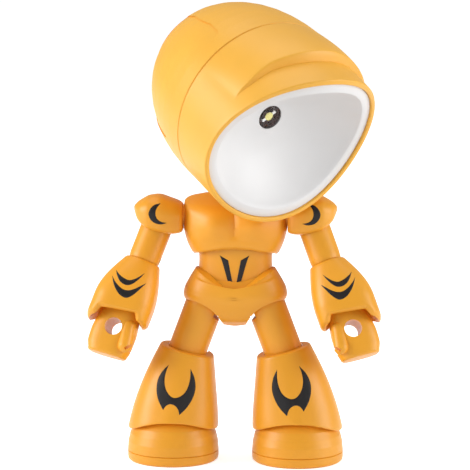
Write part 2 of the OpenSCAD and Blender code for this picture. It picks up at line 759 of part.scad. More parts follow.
module chest_body() {
    difference() {
        union() {
            difference() {
                chest_form();
                chest_hollow();
            }
            intersection() {
                chest_form();
                union() {
                    translate([0, 0, web_z]) cylinder(r = chest_a, h = web_t);
                    translate([0, 0, chest_z + 0.5]) cylinder(r = chest_a + 1, h = web_z - chest_z);
                    for (x = [-1, 1]) {
                        translate([x * (chest_a + peg_in + peg_flange_t + 0.3) / 2, 0, shoulder_z])
                            rod_x(peg_r + 1.8, chest_a - peg_in - peg_flange_t - 0.3);
                        translate([x * chest_screw_at[0], 0, chest_screw_at[1]])
                            rod_y(chest_screw_boss, 3 * chest_b);
                    }
                }
            }
        }
        abdomen_recess();
        translate([0, 0, web_z - 1]) cylinder(r = waist_r + fit, h = web_t + 2);
        translate([0, 0, web_z + web_t]) cylinder(r = waist_flange_r + gap, h = waist_flange_t + 0.4);
        translate([0, 0, shoulder_z]) rod_x(peg_r + fit, 3 * chest_a);
        for (x = [-1, 1]) translate([x * (peg_in + peg_flange_t / 2), 0, shoulder_z])
            rod_x(peg_flange_r + gap, peg_flange_t + 0.4);
    }
}

module neck_boss(grow) {
    intersection() {
        translate([0, neck_y, chest_top - neck_boss_h - grow])
            cylinder(r = neck_boss_r + grow, h = neck_boss_h + 1);
        chest_form();
    }
}

module chest_screw_cut(from, r, len) {
    for (x = [-1, 1]) translate([x * chest_screw_at[0], from, chest_screw_at[1]])
        along_y() cylinder(r = r, h = len);
}

module chest_front() {
    color(BODY_YELLOW) figure() difference() {
        union() {
            intersection() {
                chest_body();
                translate([0, -big / 2, 0]) cube([big, big, big], center = true);
            }
            neck_boss(0);
        }
        translate([0, neck_y, chest_top - neck_boss_h - 1])
            cylinder(r = step_r + fit, h = neck_boss_h + 3);
        translate([0, neck_y, chest_top - step_h]) cylinder(r = spigot_r + fit, h = step_h + 3);
        chest_screw_cut(-chest_screw_bite - 0.5, screw_r, chest_screw_bite + 1);
    }
}

module chest_back() {
    color(BODY_YELLOW) figure() difference() {
        intersection() {
            chest_body();
            translate([0, big / 2, 0]) cube([big, big, big], center = true);
        }
        translate([0, neck_y, chest_top - neck_boss_h - gap - 1])
            cylinder(r = neck_boss_r + 0.1, h = neck_boss_h + 4);
        chest_screw_cut(-1, screw_r + 0.1, chest_screw_y + 2);
        chest_screw_cut(chest_screw_y, screw_head_r + 0.2, chest_b);
    }
}

module chest_screws() {
    color(STEEL) figure() for (x = [-1, 1])
        translate([x * chest_screw_at[0], chest_screw_y, chest_screw_at[1]])
            along_y() screw(chest_screw_y + chest_screw_bite);
}

// ---- waist ----

waist_flange_r = waist_r + 1.5;
waist_flange_t = 1.4;
abdomen_floor = hip_z + thigh_r + gap + 0.9;
stub_r = 3;
stub_h = 1.6;

abdomen_power = 2.15;
module abdomen() {
    n = 40;
    stations = [[abdomen_floor, 0.98], [abdomen_floor + 3, 1], [rim_z + abdomen_show / 2, 0.985],
        [chest_z + 2, 1], [abdomen_top, 0.97]];
    color(BODY_YELLOW) figure() union() {
        skin([for (st = stations) [for (i = [0:n - 1])
            let (q = super(abdomen_a * st[1], abdomen_b * st[1], abdomen_power, 360 * i / n))
            [q[0], q[1], st[0]]]]);
        translate([0, 0, abdomen_top - 1]) cylinder(r = waist_r, h = web_t + gap + 1.2);
        translate([0, 0, web_z + web_t + 0.2]) cylinder(r = waist_flange_r, h = waist_flange_t);
        translate([0, 0, abdomen_floor - stub_h]) cylinder(r = stub_r, h = stub_h + 1);
    }
}

// ---- pelvis ----

pelvis_sides = 40;
// Stations up the pelvis: height over the hip axis as a share of the rise, width share, depth share
pelvis_stations = [[-0.427, 0.38, 0.5], [-0.364, 0.52, 0.68], [-0.236, 0.68, 0.8], [-0.036, 0.83, 0.9],
    [0.155, 0.955, 0.97], [0.309, 1, 1], [0.473, 0.98, 1], [0.745, 0.88, 0.97]];
function pelvis_ring(z, a, b, dip) = [for (i = [0:pelvis_sides - 1])
    let (q = super(a, b, 2.3, 360 * i / pelvis_sides), front = q[1] < 0 ? 1 : 0.35)
    [q[0], q[1] + pelvis_y, z - dip * front * (1 - pow(min(1, abs(q[0]) / a), 1.2))]];

module pelvis_form() {
    skin(concat(
        [for (st = pelvis_stations) pelvis_ring(hip_z + pelvis_rise * st[0], pelvis_a * st[1],
            pelvis_b * st[2], st[0] < 0.45 ? 0 : 0.35 * pelvis_dip)],
        [pelvis_ring(rim_z - 0.6, pelvis_a * 0.79, pelvis_b * 0.93, pelvis_dip),
            pelvis_ring(rim_z, pelvis_a * 0.765, pelvis_b * 0.9, pelvis_dip)]));
}

hip_ball_r = thigh_r + gap;
hip_core_r = 3.8;
hip_flange_r = hip_peg_r + 1;
hip_flange_x = 0.9;
hip_flange_t = 1.1;
hip_nose_r = hip_peg_r + 1.3;
hip_swing = [-28, 28];
hip_spread = [-6, 12];

module at_hip() { translate([hip_x, leg_y, hip_z]) children(); }

// Room for the thigh: its ball, the leg opening, and the turn of the thigh's root about the peg
module hip_space() {
    r = hip_ball_r + 0.06;
    lean = thigh_splay + hip_spread[0];
    nose_x = -hip_core_r - gap;
    nose_edge = hip_nose_r + 0.05;
    nose_top = nose_x + 1.1;
    reach = 15;
    root = 45;
    at_hip() {
        difference() {
            sphere(r = hip_ball_r);
            translate([nose_x - 5, 0, 0]) rod_x(hip_nose_r, 10);
        }
        along_x() rotate([0, 0, -hip_swing[1] - root])
            rotate_extrude(angle = hip_swing[1] - hip_swing[0] + 2 * root)
            polygon([[0, nose_top], [nose_edge, nose_top],
                [nose_edge, -r / cos(lean) + nose_edge * tan(lean)],
                [reach, -r / cos(lean) + reach * tan(lean)], [reach, reach], [0, reach]]);
    }
    translate([hip_x + 4.6, 0, hip_z - 8.8]) rod_y(leg_hole_r, 3 * pelvis_b);
    translate([hip_x / 2, leg_y, hip_z]) rod_x(hip_peg_r + fit, hip_x);
    translate([hip_flange_x + hip_flange_t / 2, leg_y, hip_z])
        rod_x(hip_flange_r + gap, hip_flange_t + 0.4);
}

module pelvis_body() {
    difference() {
        pelvis_form();
        for (side = [LEFT, RIGHT]) on_side(side) hip_space();
        skin([for (z = [abdomen_floor, rim_z + 5]) [for (i = [0:pelvis_sides - 1])
            let (q = super(abdomen_a + 0.06, abdomen_b + 0.06, abdomen_power, 360 * i / pelvis_sides))
            [q[0], q[1], z]]]);
        translate([0, 0, abdomen_floor - stub_h]) cylinder(r = stub_r + 0.02, h = stub_h + 1);
    }
}

module pelvis_half(front) {
    intersection() {
        pelvis_body();
        translate([0, leg_y + (front ? -big / 2 : big / 2), 0]) cube(big, center = true);
    }
}
pelvis_screw_z = hip_z + hip_flange_r + 1.6;
pelvis_screw_y = 4.2;
pelvis_screw_bite = 3;

module pelvis_front() {
    color(BODY_YELLOW) figure() difference() {
        pelvis_half(true);
        translate([0, leg_y - pelvis_screw_bite - 1, pelvis_screw_z]) along_y()
            cylinder(r = screw_r, h = pelvis_screw_bite + 2);
    }
}

module pelvis_back() {
    color(BODY_YELLOW) figure() difference() {
        pelvis_half(false);
        translate([0, leg_y - 1, pelvis_screw_z]) along_y()
            cylinder(r = screw_r + 0.1, h = pelvis_screw_y - leg_y + 2);
        translate([0, pelvis_screw_y, pelvis_screw_z]) along_y()
            cylinder(r = screw_head_r + 0.2, h = pelvis_b);
    }
}

module pelvis_screw() {
    color(STEEL) figure() translate([0, pelvis_screw_y, pelvis_screw_z]) along_y()
        screw(pelvis_screw_y - leg_y + pelvis_screw_bite);
}

// ---- hinges in the limbs ----
// The lower limb stands with a tongue in a slot of the upper one. The hinge axis is X, the tongue's
// stem runs down, and 270 is straight down in the angles that follow.

tongue_r = 2.6;
tongue_stem = 1.5;
slot_t = tongue_t + 0.3;

module hinge_slot(r, d0, d1) {
    plate_x(slot_t) polygon(fan(tongue_r + gap, tongue_stem + gap, d0 - 2, d1 + 2, 2.2 * r));
    rod_x(pin_r, 3 * r);
}

module hinge_tongue(depth) {
    plate_x(tongue_t) polygon(fan(tongue_r, tongue_stem, 270, 270, depth));
}

module hinge_bore() { rod_x(pin_r + fit, 2 * tongue_t); }
module hinge_pin(r) { rod_x(pin_r, 2 * r - 0.5); }

// ---- arms ----

elbow_bend = 40;
pad_spread = [-12, 8];
pad_knuckle_r = 3.6;
pad_knuckle_t = 5;

module at_shoulder(side) {
    figure() on_side(side) translate([shoulder_x, 0, shoulder_z]) rotate([-arm_swing, 0, 0]) children();
}
module at_arm(side) { at_shoulder(side) rotate([0, -arm_splay, 0]) children(); }
module at_elbow(side) { at_arm(side) translate([0, 0, -arm_len]) children(); }
module at_hand(side) { at_elbow(side) rotate([0, 0, hand_turn]) children(); }

pad_in = shoulder_x - chest_a - 0.15;
// Stations of the shoulder pad: place against the pivot, then height, half height and half depth as shares
pad_stations = [[-pad_in, -0.103, 0.72, 0.7], [-0.84 * pad_in, -0.075, 0.83, 0.82],
    [-0.435 * pad_in, 0, 0.945, 0.95], [0.026 * pad_out, 0.121, 1, 1], [0.42 * pad_out, 0.178, 0.9, 0.95],
    [0.7 * pad_out, 0.215, 0.67, 0.79], [0.89 * pad_out, 0.28, 0.42, 0.54], [pad_out, 0.393, 0.14, 0.2]];
pad_sides = 28;
pad_ahead = 0.4;

// The pad hangs level while the arm swings with it. Its lower half is squarer, as a skirt round the arm.
module pad_form() {
    skin([for (st = pad_stations) [for (i = [0:pad_sides - 1])
        let (t = 360 * i / pad_sides, q = super(pad_b * st[3], pad_half * st[2], t < 180 ? 2.3 : 5, t))
        [st[0], q[0] - pad_ahead, q[1] + pad_half * st[1]]]]);
}

// Room in which the arm leans in and out: a blunt funnel that widens along the arm
module arm_room() {
    r = arm_r + gap;
    mid = arm_splay + (pad_spread[0] + pad_spread[1]) / 2;
    half = (pad_spread[1] - pad_spread[0]) / 2;
    steps = [[-0.995, 0.1], [-0.8, 0.6], [-0.45, 0.893], [0, 1], [1, 1], [3.6, 1]];
    rotate([0, -mid, 0]) skin([for (k = [len(steps) - 1:-1:0]) [for (i = [0:pad_sides - 1])
        let (q = super(r * steps[k][1] + r * max(0, steps[k][0]) * tan(half), r * steps[k][1], 2.05,
            360 * i / pad_sides)) [q[0], q[1], -r * steps[k][0]]]]);
}

module pad_peg() {
    along_x() rotate_extrude() polygon([[0, 0], [peg_flange_r, 0], [peg_flange_r, peg_flange_t],
        [peg_r, peg_flange_t], [peg_r, chest_a - peg_in + 0.6], [0, chest_a - peg_in + 0.6]]);
}

module shoulder_pad(side) {
    color(BODY_YELLOW) at_shoulder(side) difference() {
        union() {
            difference() {
                rotate([arm_swing, 0, 0]) pad_form();
                arm_room();
            }
            for (y = [-1, 1]) translate([0, y * (pad_knuckle_t / 2 + 0.15 + 1.2), 0])
                rod_y(pad_knuckle_r, 2.4);
            translate([-shoulder_x + peg_in, 0, 0]) pad_peg();
        }
        translate([0, -pad_knuckle_t / 2 - 1.4, 0]) along_y() cylinder(r = pin_r, h = 20);
    }
}

module shoulder_pin(side) {
    color(STEEL) at_shoulder(side) translate([0, -pad_knuckle_t / 2 - 1.4, 0]) along_y()
        cylinder(r = pin_r, h = pad_knuckle_t + 3);
}

module upper_arm(side) {
    color(BODY_YELLOW) at_arm(side) difference() {
        capsule(arm_r, arm_len);
        for (y = [-1, 1]) translate([0, y * (pad_knuckle_t / 2 + 2), 0])
            rod_y(pad_knuckle_r + gap, 4);
        rod_y(pin_r + fit, 3 * arm_r);
        translate([0, 0, -arm_len]) hinge_slot(arm_r, 270 - elbow_bend, 270);
    }
}

module elbow_pin(side) { color(STEEL) at_elbow(side) hinge_pin(arm_r); }

gauntlet_sides = 32;
gauntlet_top = 1.45;
cuff_roof = 15.2;
// Outline of the gauntlet at distance t below the elbow axis, with the wall w taken off
function gauntlet_ring(t, w) = let (f = min(1, (t - gauntlet_top) / (0.62 * gauntlet_len)),
    tuck = max(0, (t - gauntlet_len + 2) / 2),
    a = mix(arm_r + 0.55, gauntlet_a, sin(90 * f)) - 0.8 * tuck * tuck - w,
    b = mix(arm_r + 0.55, gauntlet_b, sin(90 * f)) - 0.65 * tuck * tuck - w,
    n = mix(2, 3.3, f), lower = pow(max(0, (t - 12) / (gauntlet_len - 12)), 1.5))
    [for (i = [0:gauntlet_sides - 1]) let (q = super(a, b, n, 360 * i / gauntlet_sides),
        rise = lower * (gauntlet_arch * pow(abs(q[1]) / b, 2) - gauntlet_slant * q[0] / a))
        [q[0] + 0.8 * sin(90 * f), q[1], -t + rise]];

module gauntlet(side) {
    heights = [gauntlet_len, gauntlet_len - 0.7, gauntlet_len - 2.2, 15.5, 12, 9, 6.2, 3.8, 2.2, gauntlet_top];
    rim = gauntlet_len - 2.2;
    color(BODY_YELLOW) at_elbow(side) difference() {
        union() {
            difference() {
                skin([for (t = heights) gauntlet_ring(t, 0)]);
                sphere(r = arm_r + gap);
                skin([for (t = [gauntlet_len + 3, cuff_roof])
                    [for (p = gauntlet_ring(rim, cuff_wall)) [p[0], p[1], -t]]]);
            }
            hinge_tongue(arm_r + 2);
        }
        hinge_bore();
        rotate_extrude() polygon([[0, -cuff_roof - 1], [wrist_r + fit, -cuff_roof - 1],
            [wrist_r + fit, -cuff_roof + snap_h - 0.9], [wrist_r + snap + 0.1, -cuff_roof + snap_h - 0.4],
            [wrist_r + snap + 0.1, -cuff_roof + snap_h + 0.4], [wrist_r + fit, -cuff_roof + snap_h + 0.9],
            [wrist_r + fit, -cuff_roof + wrist_len + 0.3], [0, -cuff_roof + wrist_len + 0.3]]);
    }
}
// Wrist peg with the ridge that snaps into the gauntlet
snap = 0.25;
snap_h = 3.5;
wrist_len = 6;
module wrist_peg(foot) {
    rotate_extrude() polygon([[0, -foot], [wrist_r, -foot],
        [wrist_r, -cuff_roof + snap_h - 0.7], [wrist_r + snap, -cuff_roof + snap_h - 0.25],
        [wrist_r + snap, -cuff_roof + snap_h + 0.25], [wrist_r, -cuff_roof + snap_h + 0.7],
        [wrist_r, -cuff_roof + wrist_len], [0, -cuff_roof + wrist_len]]);
}

hand_sides = 24;
function hand_ring(t, c, a, b) = [for (i = [0:hand_sides - 1])
    let (q = super(a, b, 2.9, 360 * i / hand_sides)) [c + q[0], q[1], -t - 0.06 * q[0]]];

module hand(side) {
    top = cuff_roof + gap;
    stations = [[hand_end, 0, 0.7, 0.82], [hand_end - 0.9, 0.1, 0.88, 0.96],
        [hand_end - 3, 0.3, 0.98, 1], [mix(top, hand_end, 0.55), 0.4, 1, 1],
        [mix(top, hand_end, 0.36), 0.4, 0.95, 0.98], [mix(top, hand_end, 0.16), 0.3, 0.85, 0.93],
        [top + 0.6, 0.1, 0.77, 0.86], [top, 0.1, 0.68, 0.76]];
    color(BODY_YELLOW) at_hand(side) difference() {
        union() {
            skin([for (st = stations) hand_ring(st[0], st[1], hand_a * st[2], hand_b * st[3])]);
            thumb();
            wrist_peg(top + 1);
        }
        translate([0, 0, -grip_at]) rod_y(grip_r, 4 * hand_b);
        translate([-hand_a, 0, -hand_end + 3.9]) rotate([0, 50, 0]) cube([2.2, 3 * hand_b, 0.7], center = true);
    }
}

// Thumb: a finger with round ends down the inner front of the hand, a little proud of it
module thumb() {
    root = [-0.58 * hand_a, -0.53 * hand_b, 1.8 - grip_at];
    tip = [-0.78 * hand_a, -0.79 * hand_b, -4 - grip_at];
    root_r = 1.9;
    tip_r = 2.05;
    way = tip - root;
    len = norm(way);
    translate(root) rotate(a = acos(-way[2] / len), v = cross([0, 0, -1], way))
        rotate_extrude() polygon(concat([for (a = [90:-22.5:0]) [root_r * cos(a), root_r * sin(a)]],
            [for (a = [0:-22.5:-90]) [tip_r * cos(a), tip_r * sin(a) - len]]));
}

// ---- legs ----

hip_tongue_t = 4;
hip_tongue_r = 3.1;
knee_tilt = 14;
knee_bend = 60;
rim_above = 1;

module at_leg(side) { figure() on_side(side) translate([hip_x, leg_y, hip_z]) children(); }
module at_knee(side) { figure() on_side(side) translate([knee_x, leg_y, knee_z]) children(); }
module at_ankle(side) { figure() on_side(side) translate([foot_x, leg_y, ankle_h]) children(); }

// Tongue with a peg that turns in the pelvis
module hip_peg(side) {
    color(BLACK) at_leg(side) difference() {
        union() {
            rod_y(hip_tongue_r, hip_tongue_t);
            translate([-hip_x + hip_flange_x, 0, 0]) along_x() rotate_extrude() polygon([[0, 0],
                [hip_flange_r, 0], [hip_flange_r, hip_flange_t], [hip_peg_r, hip_flange_t],
                [hip_peg_r, hip_x - hip_flange_x - pin_r - 0.6], [0, hip_x - hip_flange_x - pin_r - 0.6]]);
        }
        rod_y(pin_r + fit, 2 * hip_tongue_t);
    }
}

module hip_pin(side) {
    color(STEEL) at_leg(side) translate([0, -thigh_r + 1.1, 0]) along_y()
        cylinder(r = pin_r, h = 2 * thigh_r - 2.4);
}

// Sector that frees the nose of the pelvis when the thigh spreads
module hip_relief() {
    turns = [108:13:225];
    plate_y(4 * thigh_r) polygon(concat(
        [for (a = turns) hip_core_r * [cos(a), sin(a)]],
        [for (a = [225, 186, 147, 108]) 12 * [cos(a), sin(a)]]));
}

module thigh(side) {
    color(BODY_YELLOW) at_leg(side) difference() {
        rotate([0, -thigh_splay, 0]) capsule(thigh_r, thigh_len);
        rod_y(hip_core_r + 0.1, hip_tongue_t + 0.3);
        hip_relief();
        translate([0, -thigh_r + 1.1, 0]) along_y() cylinder(r = pin_r, h = 3 * thigh_r);
        translate([knee_x - hip_x, 0, knee_z - hip_z]) rotate([0, -knee_tilt, 0])
            hinge_slot(thigh_r, 270, 270 + knee_bend);
    }
}

module knee_pin(side) { color(STEEL) at_knee(side) rotate([0, -knee_tilt, 0]) hinge_pin(thigh_r); }

boot_sides = 32;
hem_z = ankle_h + 2.9;
boot_rim = [knee_x - rim_above * sin(knee_tilt), knee_z + rim_above * cos(knee_tilt)];
foot_room = gap + 0.35;

// Ring of the boot at share f of the way from hem to top; w is taken off all round
function boot_ring(f, w) = let (
    tilt = knee_tilt * f,
    a = mix(boot_a, boot_top, pow(f, 1.35)) - w,
    b = mix(boot_b, boot_top, pow(f, 1.2)) - w,
    cx = mix(foot_x, boot_rim[0], f) + 0.4 * sin(180 * f),
    cz = mix(hem_z, boot_rim[1], f),
    arch = boot_arch * pow(max(0, 1 - f / 0.6), 2))
    [for (i = [0:boot_sides - 1]) let (t = 360 * i / boot_sides, q = super(a, b, 2.25, t),
        off = (t - 270) / 11, keel = boot_ridge * (1 - f * f) * exp(-off * off),
        rise = (q[1] < 0 ? 1 : 0.4) * arch * pow(abs(q[1]) / b, 3))
        [cx + q[0] * cos(tilt), leg_y + q[1] - keel, cz + q[0] * sin(tilt) + rise]];

// The boot's underside follows the foot's dome: share f of the way from the hem in to the middle
function under_ring(f) = let (hem = boot_ring(0, 0.6)) [for (i = [0:boot_sides - 1])
    let (z = mix(hem[i][2], foot_h + foot_room, sin(90 * f)), r = dome_r(z, foot_room),
        q = super(1, 1, 2, 360 * i / boot_sides))
        [foot_x + r * q[0], leg_y + r * q[1], z]];

module boot(side) {
    shares = [0, 0.03, 0.1, 0.22, 0.38, 0.56, 0.75, 0.93, 0.99, 1];
    trim = [0.35, 0, 0, 0, 0, 0, 0, 0, 0.2, 0.55];
    color(BODY_YELLOW) figure() on_side(side) difference() {
        union() {
            difference() {
                skin(concat([for (f = [0.97, 0.8, 0.55, 0.3, 0.05]) under_ring(f)],
                    [for (k = [0:len(shares) - 1]) boot_ring(shares[k], trim[k])]));
                translate([knee_x, leg_y, knee_z]) {
                    sphere(r = thigh_r + gap);
                    rotate([0, -knee_tilt, 0]) rotate([-knee_bend, 0, 0])
                        rotate([0, knee_tilt - thigh_splay, 0]) cylinder(r = thigh_r + gap - 0.05, h = 14);
                }
            }
            translate([knee_x, leg_y, knee_z]) rotate([0, -knee_tilt, 0]) hinge_tongue(thigh_r + 2);
            translate([foot_x, leg_y, ankle_h]) rotate([180, 0, 0]) hinge_tongue(foot_h - ankle_h + 2);
        }
        translate([knee_x, leg_y, knee_z]) rotate([0, -knee_tilt, 0]) hinge_bore();
        translate([foot_x, leg_y, ankle_h]) hinge_bore();
    }
}

// ---- feet ----

ankle_tilt = 6;
rib_t = 2.8;
foot_full = 2.2;
dome_foot = sole_h + 0.1;
// Radius of the foot's dome at height z, grown by g, and the dome's outline from edge to top
function dome_r(z, g) = let (h = foot_h - dome_foot + g)
    (foot_r + g) * pow(max(0, 1 - pow(max(0, z - dome_foot) / h, foot_full)), 1 / foot_full);
function dome_line(g) = [for (k = [0:9]) let (q = super(foot_r + g, foot_h - dome_foot + g, foot_full, 10 * k))
    [q[0], dome_foot + q[1]]];

module foot(side) {
    rib_top = foot_h - foot_wall + 0.15;
    inside = dome_line(-foot_wall);
    color(BODY_YELLOW) figure() on_side(side) translate([foot_x, leg_y, 0]) difference() {
        union() {
            rotate_extrude() polygon(concat(dome_line(0), [[0, foot_h]],
                [[0, foot_h - foot_wall]], [for (k = [9:-1:0]) inside[k]]));
            for (x = [-1, 1]) translate([x * (slot_t + rib_t) / 2, 0, (dome_foot + rib_top) / 2])
                cube([rib_t, 2 * tongue_r + 4, rib_top - dome_foot], center = true);
        }
        translate([0, 0, ankle_h]) {
            rod_x(pin_r, slot_t + 2 * rib_t - 0.4);
            plate_x(slot_t) polygon(fan(tongue_r + gap, tongue_stem + gap, 89 - ankle_tilt,
                91 + ankle_tilt, 2 * foot_h));
        }
    }
}

module ankle_pin(side) {
    color(STEEL) at_ankle(side) rod_x(pin_r, slot_t + 2 * rib_t - 0.4);
}

module sole(side) {
    color(BODY_YELLOW) figure() on_side(side) translate([foot_x, leg_y, 0]) rotate_extrude() polygon([
        [0, 0], [foot_r - 0.7, 0], [foot_r - 0.15, 0.5], [foot_r, 1.2], [foot_r, sole_h - 0.25],
        [foot_r - 0.3, sole_h], [foot_r - foot_wall - 0.1, sole_h],
        [foot_r - foot_wall - 0.1, sole_h + 0.8], [foot_r - foot_wall - 1.3, sole_h + 0.8],
        [foot_r - foot_wall - 1.3, sole_h - 1], [0, sole_h - 1]]);
}

head_front_shell();
head_rear_shell();
reflector();
light_lens();
light_package();
light_board();
board_screws();
battery_door();
door_screw();
button_cells();
cell_contact_plate();
cell_contact_leaf();
switch_unit();
switch_button();
ball_retainer();
retainer_screws();
neck_post();
neck_screw();
chest_front();
chest_back();
chest_screws();
abdomen();
pelvis_front();
pelvis_back();
pelvis_screw();
shoulder_pad(LEFT);  // left_shoulder_pad
shoulder_pin(LEFT);  // left_shoulder_pin
upper_arm(LEFT);  // left_upper_arm
elbow_pin(LEFT);  // left_elbow_pin
gauntlet(LEFT);  // left_gauntlet
hand(LEFT);  // left_hand
shoulder_pad(RIGHT);  // right_shoulder_pad
shoulder_pin(RIGHT);  // right_shoulder_pin
upper_arm(RIGHT);  // right_upper_arm
elbow_pin(RIGHT);  // right_elbow_pin
gauntlet(RIGHT);  // right_gauntlet
hand(RIGHT);  // right_hand
hip_peg(LEFT);  // left_hip_peg
hip_pin(LEFT);  // left_hip_pin
thigh(LEFT);  // left_thigh
knee_pin(LEFT);  // left_knee_pin
boot(LEFT);  // left_boot
ankle_pin(LEFT);  // left_ankle_pin
foot(LEFT);  // left_foot
sole(LEFT);  // left_sole
hip_peg(RIGHT);  // right_hip_peg
hip_pin(RIGHT);  // right_hip_pin
thigh(RIGHT);  // right_thigh
knee_pin(RIGHT);  // right_knee_pin
boot(RIGHT);  // right_boot
ankle_pin(RIGHT);  // right_ankle_pin
foot(RIGHT);  // right_foot
sole(RIGHT);  // right_sole
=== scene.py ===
"""Jointed figure lamp: finished shells, materials, printed marks, studio and camera round the CAD frame."""

import math

import bmesh
import bpy
import numpy as np
from mathutils import Matrix, Vector
from mathutils.bvhtree import BVHTree


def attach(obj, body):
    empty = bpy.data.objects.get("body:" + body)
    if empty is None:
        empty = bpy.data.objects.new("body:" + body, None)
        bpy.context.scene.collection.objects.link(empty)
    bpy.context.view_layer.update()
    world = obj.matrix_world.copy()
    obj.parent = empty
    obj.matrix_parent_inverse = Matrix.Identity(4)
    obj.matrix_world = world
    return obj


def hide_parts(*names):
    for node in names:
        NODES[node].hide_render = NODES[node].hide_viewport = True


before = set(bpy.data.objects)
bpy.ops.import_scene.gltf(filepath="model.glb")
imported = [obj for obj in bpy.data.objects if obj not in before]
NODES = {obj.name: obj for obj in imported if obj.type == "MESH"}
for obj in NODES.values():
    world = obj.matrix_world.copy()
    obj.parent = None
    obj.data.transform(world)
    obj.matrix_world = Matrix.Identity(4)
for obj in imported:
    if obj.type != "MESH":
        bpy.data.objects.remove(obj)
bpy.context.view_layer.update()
SCENE = bpy.context.scene
MM = 0.001

# ---- the part's driving sizes, in millimetres and degrees ----

BODY_Y = 11
HEAD_YAW, HEAD_PITCH = 36.5, 22.9
HEAD_R, HEAD_WALL = 26.55, 1.8
RIM_REACH, RIM_RAKE, RIM_DIP, RIM_SKEW = 19.1, 5.9, 2.8, 0.3
RIM_R, RIM_NARROW, RIM_WIDE, RIM_WALL, LIP_H = 24.2, 2.1, 0.7, 1.35, 0.6
BROW_SPAN, BROW_RISE, BROW_CREST, STEP_REACH, BROW_WALL = 58.5, 2.6, 17.9, 0.8, 0.3
FLANGE_W, REFLECTOR_WALL, BOWL_BOTTOM, WINDOW_R = 2.6, 1, 5.2, 3.6
BALL_BELOW, BALL_BEHIND, BALL_ABOVE_CHEST, NECK_R = 19.95, 5.4, 25.6, 2.6
NECK_BOSS_R, NECK_BOSS_H, SPIGOT_R, STEP_R, STEP_H = 4.6, 6.2, 2.2, 3, 3.4
CHEST_A, CHEST_B, CHEST_H, CHEST_WALL, CHEST_ARCH, CHEST_DROP = 14.85, 8.2, 17.2, 1.7, 2.6, 0.7
CHEST_POWER, BREAST, GROOVE, GROOVE_W = 2.5, 1.0, 0.7, 0.8
ABDOMEN_A, ABDOMEN_B, ABDOMEN_SHOW, ABDOMEN_IN, ABDOMEN_POWER = 10.6, 6.6, 4.5, 5.4, 2.15
WAIST_R, WAIST_FLANGE_R, WAIST_FLANGE_T, STUB_R, STUB_H, WEB_T = 3.5, 5, 1.4, 3, 1.6, 1.7
PELVIS_A, PELVIS_B, PELVIS_RISE, PELVIS_DIP, PELVIS_POWER = 14.9, 9, 11, 6.5, 2.3
PELVIS_FORWARD, DIP_POWER, DIP_BEHIND, LEG_HOLE_R = 0.6, 1.2, 0.35, 11
SHOULDER_H, SHOULDER_X, PAD_OUT, PAD_B = 10.4, 21.2, 7.7, 7
ARM_R, ARM_LEN, ARM_SWING, ARM_SPLAY, PEG_R = 4.5, 13.1, 18, 20, 3
GAUNTLET_A, GAUNTLET_B, GAUNTLET_LEN, GAUNTLET_ARCH, CUFF_WALL = 8.7, 8.1, 21.2, 3.6, 1.2
WRIST_R, HAND_A, HAND_B, HAND_END, GRIP_AT, GRIP_R, HAND_TURN = 2.5, 6.4, 4.7, 30.3, 22.2, 2.5, 8
HIP_X, LEG_FORWARD, THIGH_R, THIGH_LEN, THIGH_SPLAY, HIP_PEG_R = 8.95, 1.8, 5.5, 14.5, 20.5, 1.8
BOOT_LEN, BOOT_A, BOOT_B, BOOT_TOP, BOOT_ARCH, BOOT_RIDGE, BOOT_LEAN = 25.1, 12.95, 12, 7.8, 3.2, 0.5, 9
FOOT_R, FOOT_H, ANKLE_H, SOLE_H = 13.1, 16, 6.5, 2.9
FIT, GAP, PIN_R, TONGUE_T = 0.05, 0.35, 0.95, 3.2
KNEE_TILT, KNEE_BEND, RIM_ABOVE = 14, 60, 1


def sin(degrees):
    return math.sin(math.radians(degrees))


def cos(degrees):
    return math.cos(math.radians(degrees))


LEG_Y = -LEG_FORWARD
NECK_Y = -1.5
KNEE_X = HIP_X + THIGH_LEN * sin(THIGH_SPLAY)
FOOT_X = KNEE_X + BOOT_LEN * sin(BOOT_LEAN)
KNEE_Z = ANKLE_H + BOOT_LEN * cos(BOOT_LEAN)
HIP_Z = KNEE_Z + THIGH_LEN * cos(THIGH_SPLAY)
RIM_Z = HIP_Z + PELVIS_RISE
CHEST_Z = RIM_Z + ABDOMEN_SHOW
CHEST_TOP = CHEST_Z + CHEST_H
SHOULDER_Z = CHEST_Z + SHOULDER_H
BALL_Z = CHEST_Z + BALL_ABOVE_CHEST


def turn(axis, degrees):
    return Matrix.Rotation(math.radians(degrees), 4, axis)


def shift(x, y, z):
    return Matrix.Translation((x, y, z))


FIGURE = shift(0, BODY_Y, 0)
HEAD = (FIGURE @ shift(0, NECK_Y, BALL_Z) @ turn("Z", HEAD_YAW) @ turn("X", HEAD_PITCH)
        @ shift(0, -BALL_BEHIND, BALL_BELOW) @ turn("X", 90))
AT_BALL = HEAD @ shift(0, -BALL_BELOW, -BALL_BEHIND)
AT_SHOULDER = FIGURE @ shift(SHOULDER_X, 0, SHOULDER_Z) @ turn("X", -ARM_SWING)
AT_ARM = AT_SHOULDER @ turn("Y", -ARM_SPLAY)
AT_ELBOW = AT_ARM @ shift(0, 0, -ARM_LEN)
AT_HAND = AT_ELBOW @ turn("Z", HAND_TURN)
ALONG_X = turn("Y", 90)
ALONG_Y = turn("X", -90)


# ---- solids in mesh code ----

def mix(a, b, f):
    return a + (b - a) * f


def smooth(f):
    f = min(1, max(0, f))
    return f * f * (3 - 2 * f)


def super_point(a, b, power, t):
    c, s = cos(t), sin(t)
    return (a * math.copysign(abs(c) ** (2 / power), c), b * math.copysign(abs(s) ** (2 / power), s))


def oval(a, b, power, z, sides=160):
    return [(*super_point(a, b, power, 360 * i / sides), z) for i in range(sides)]


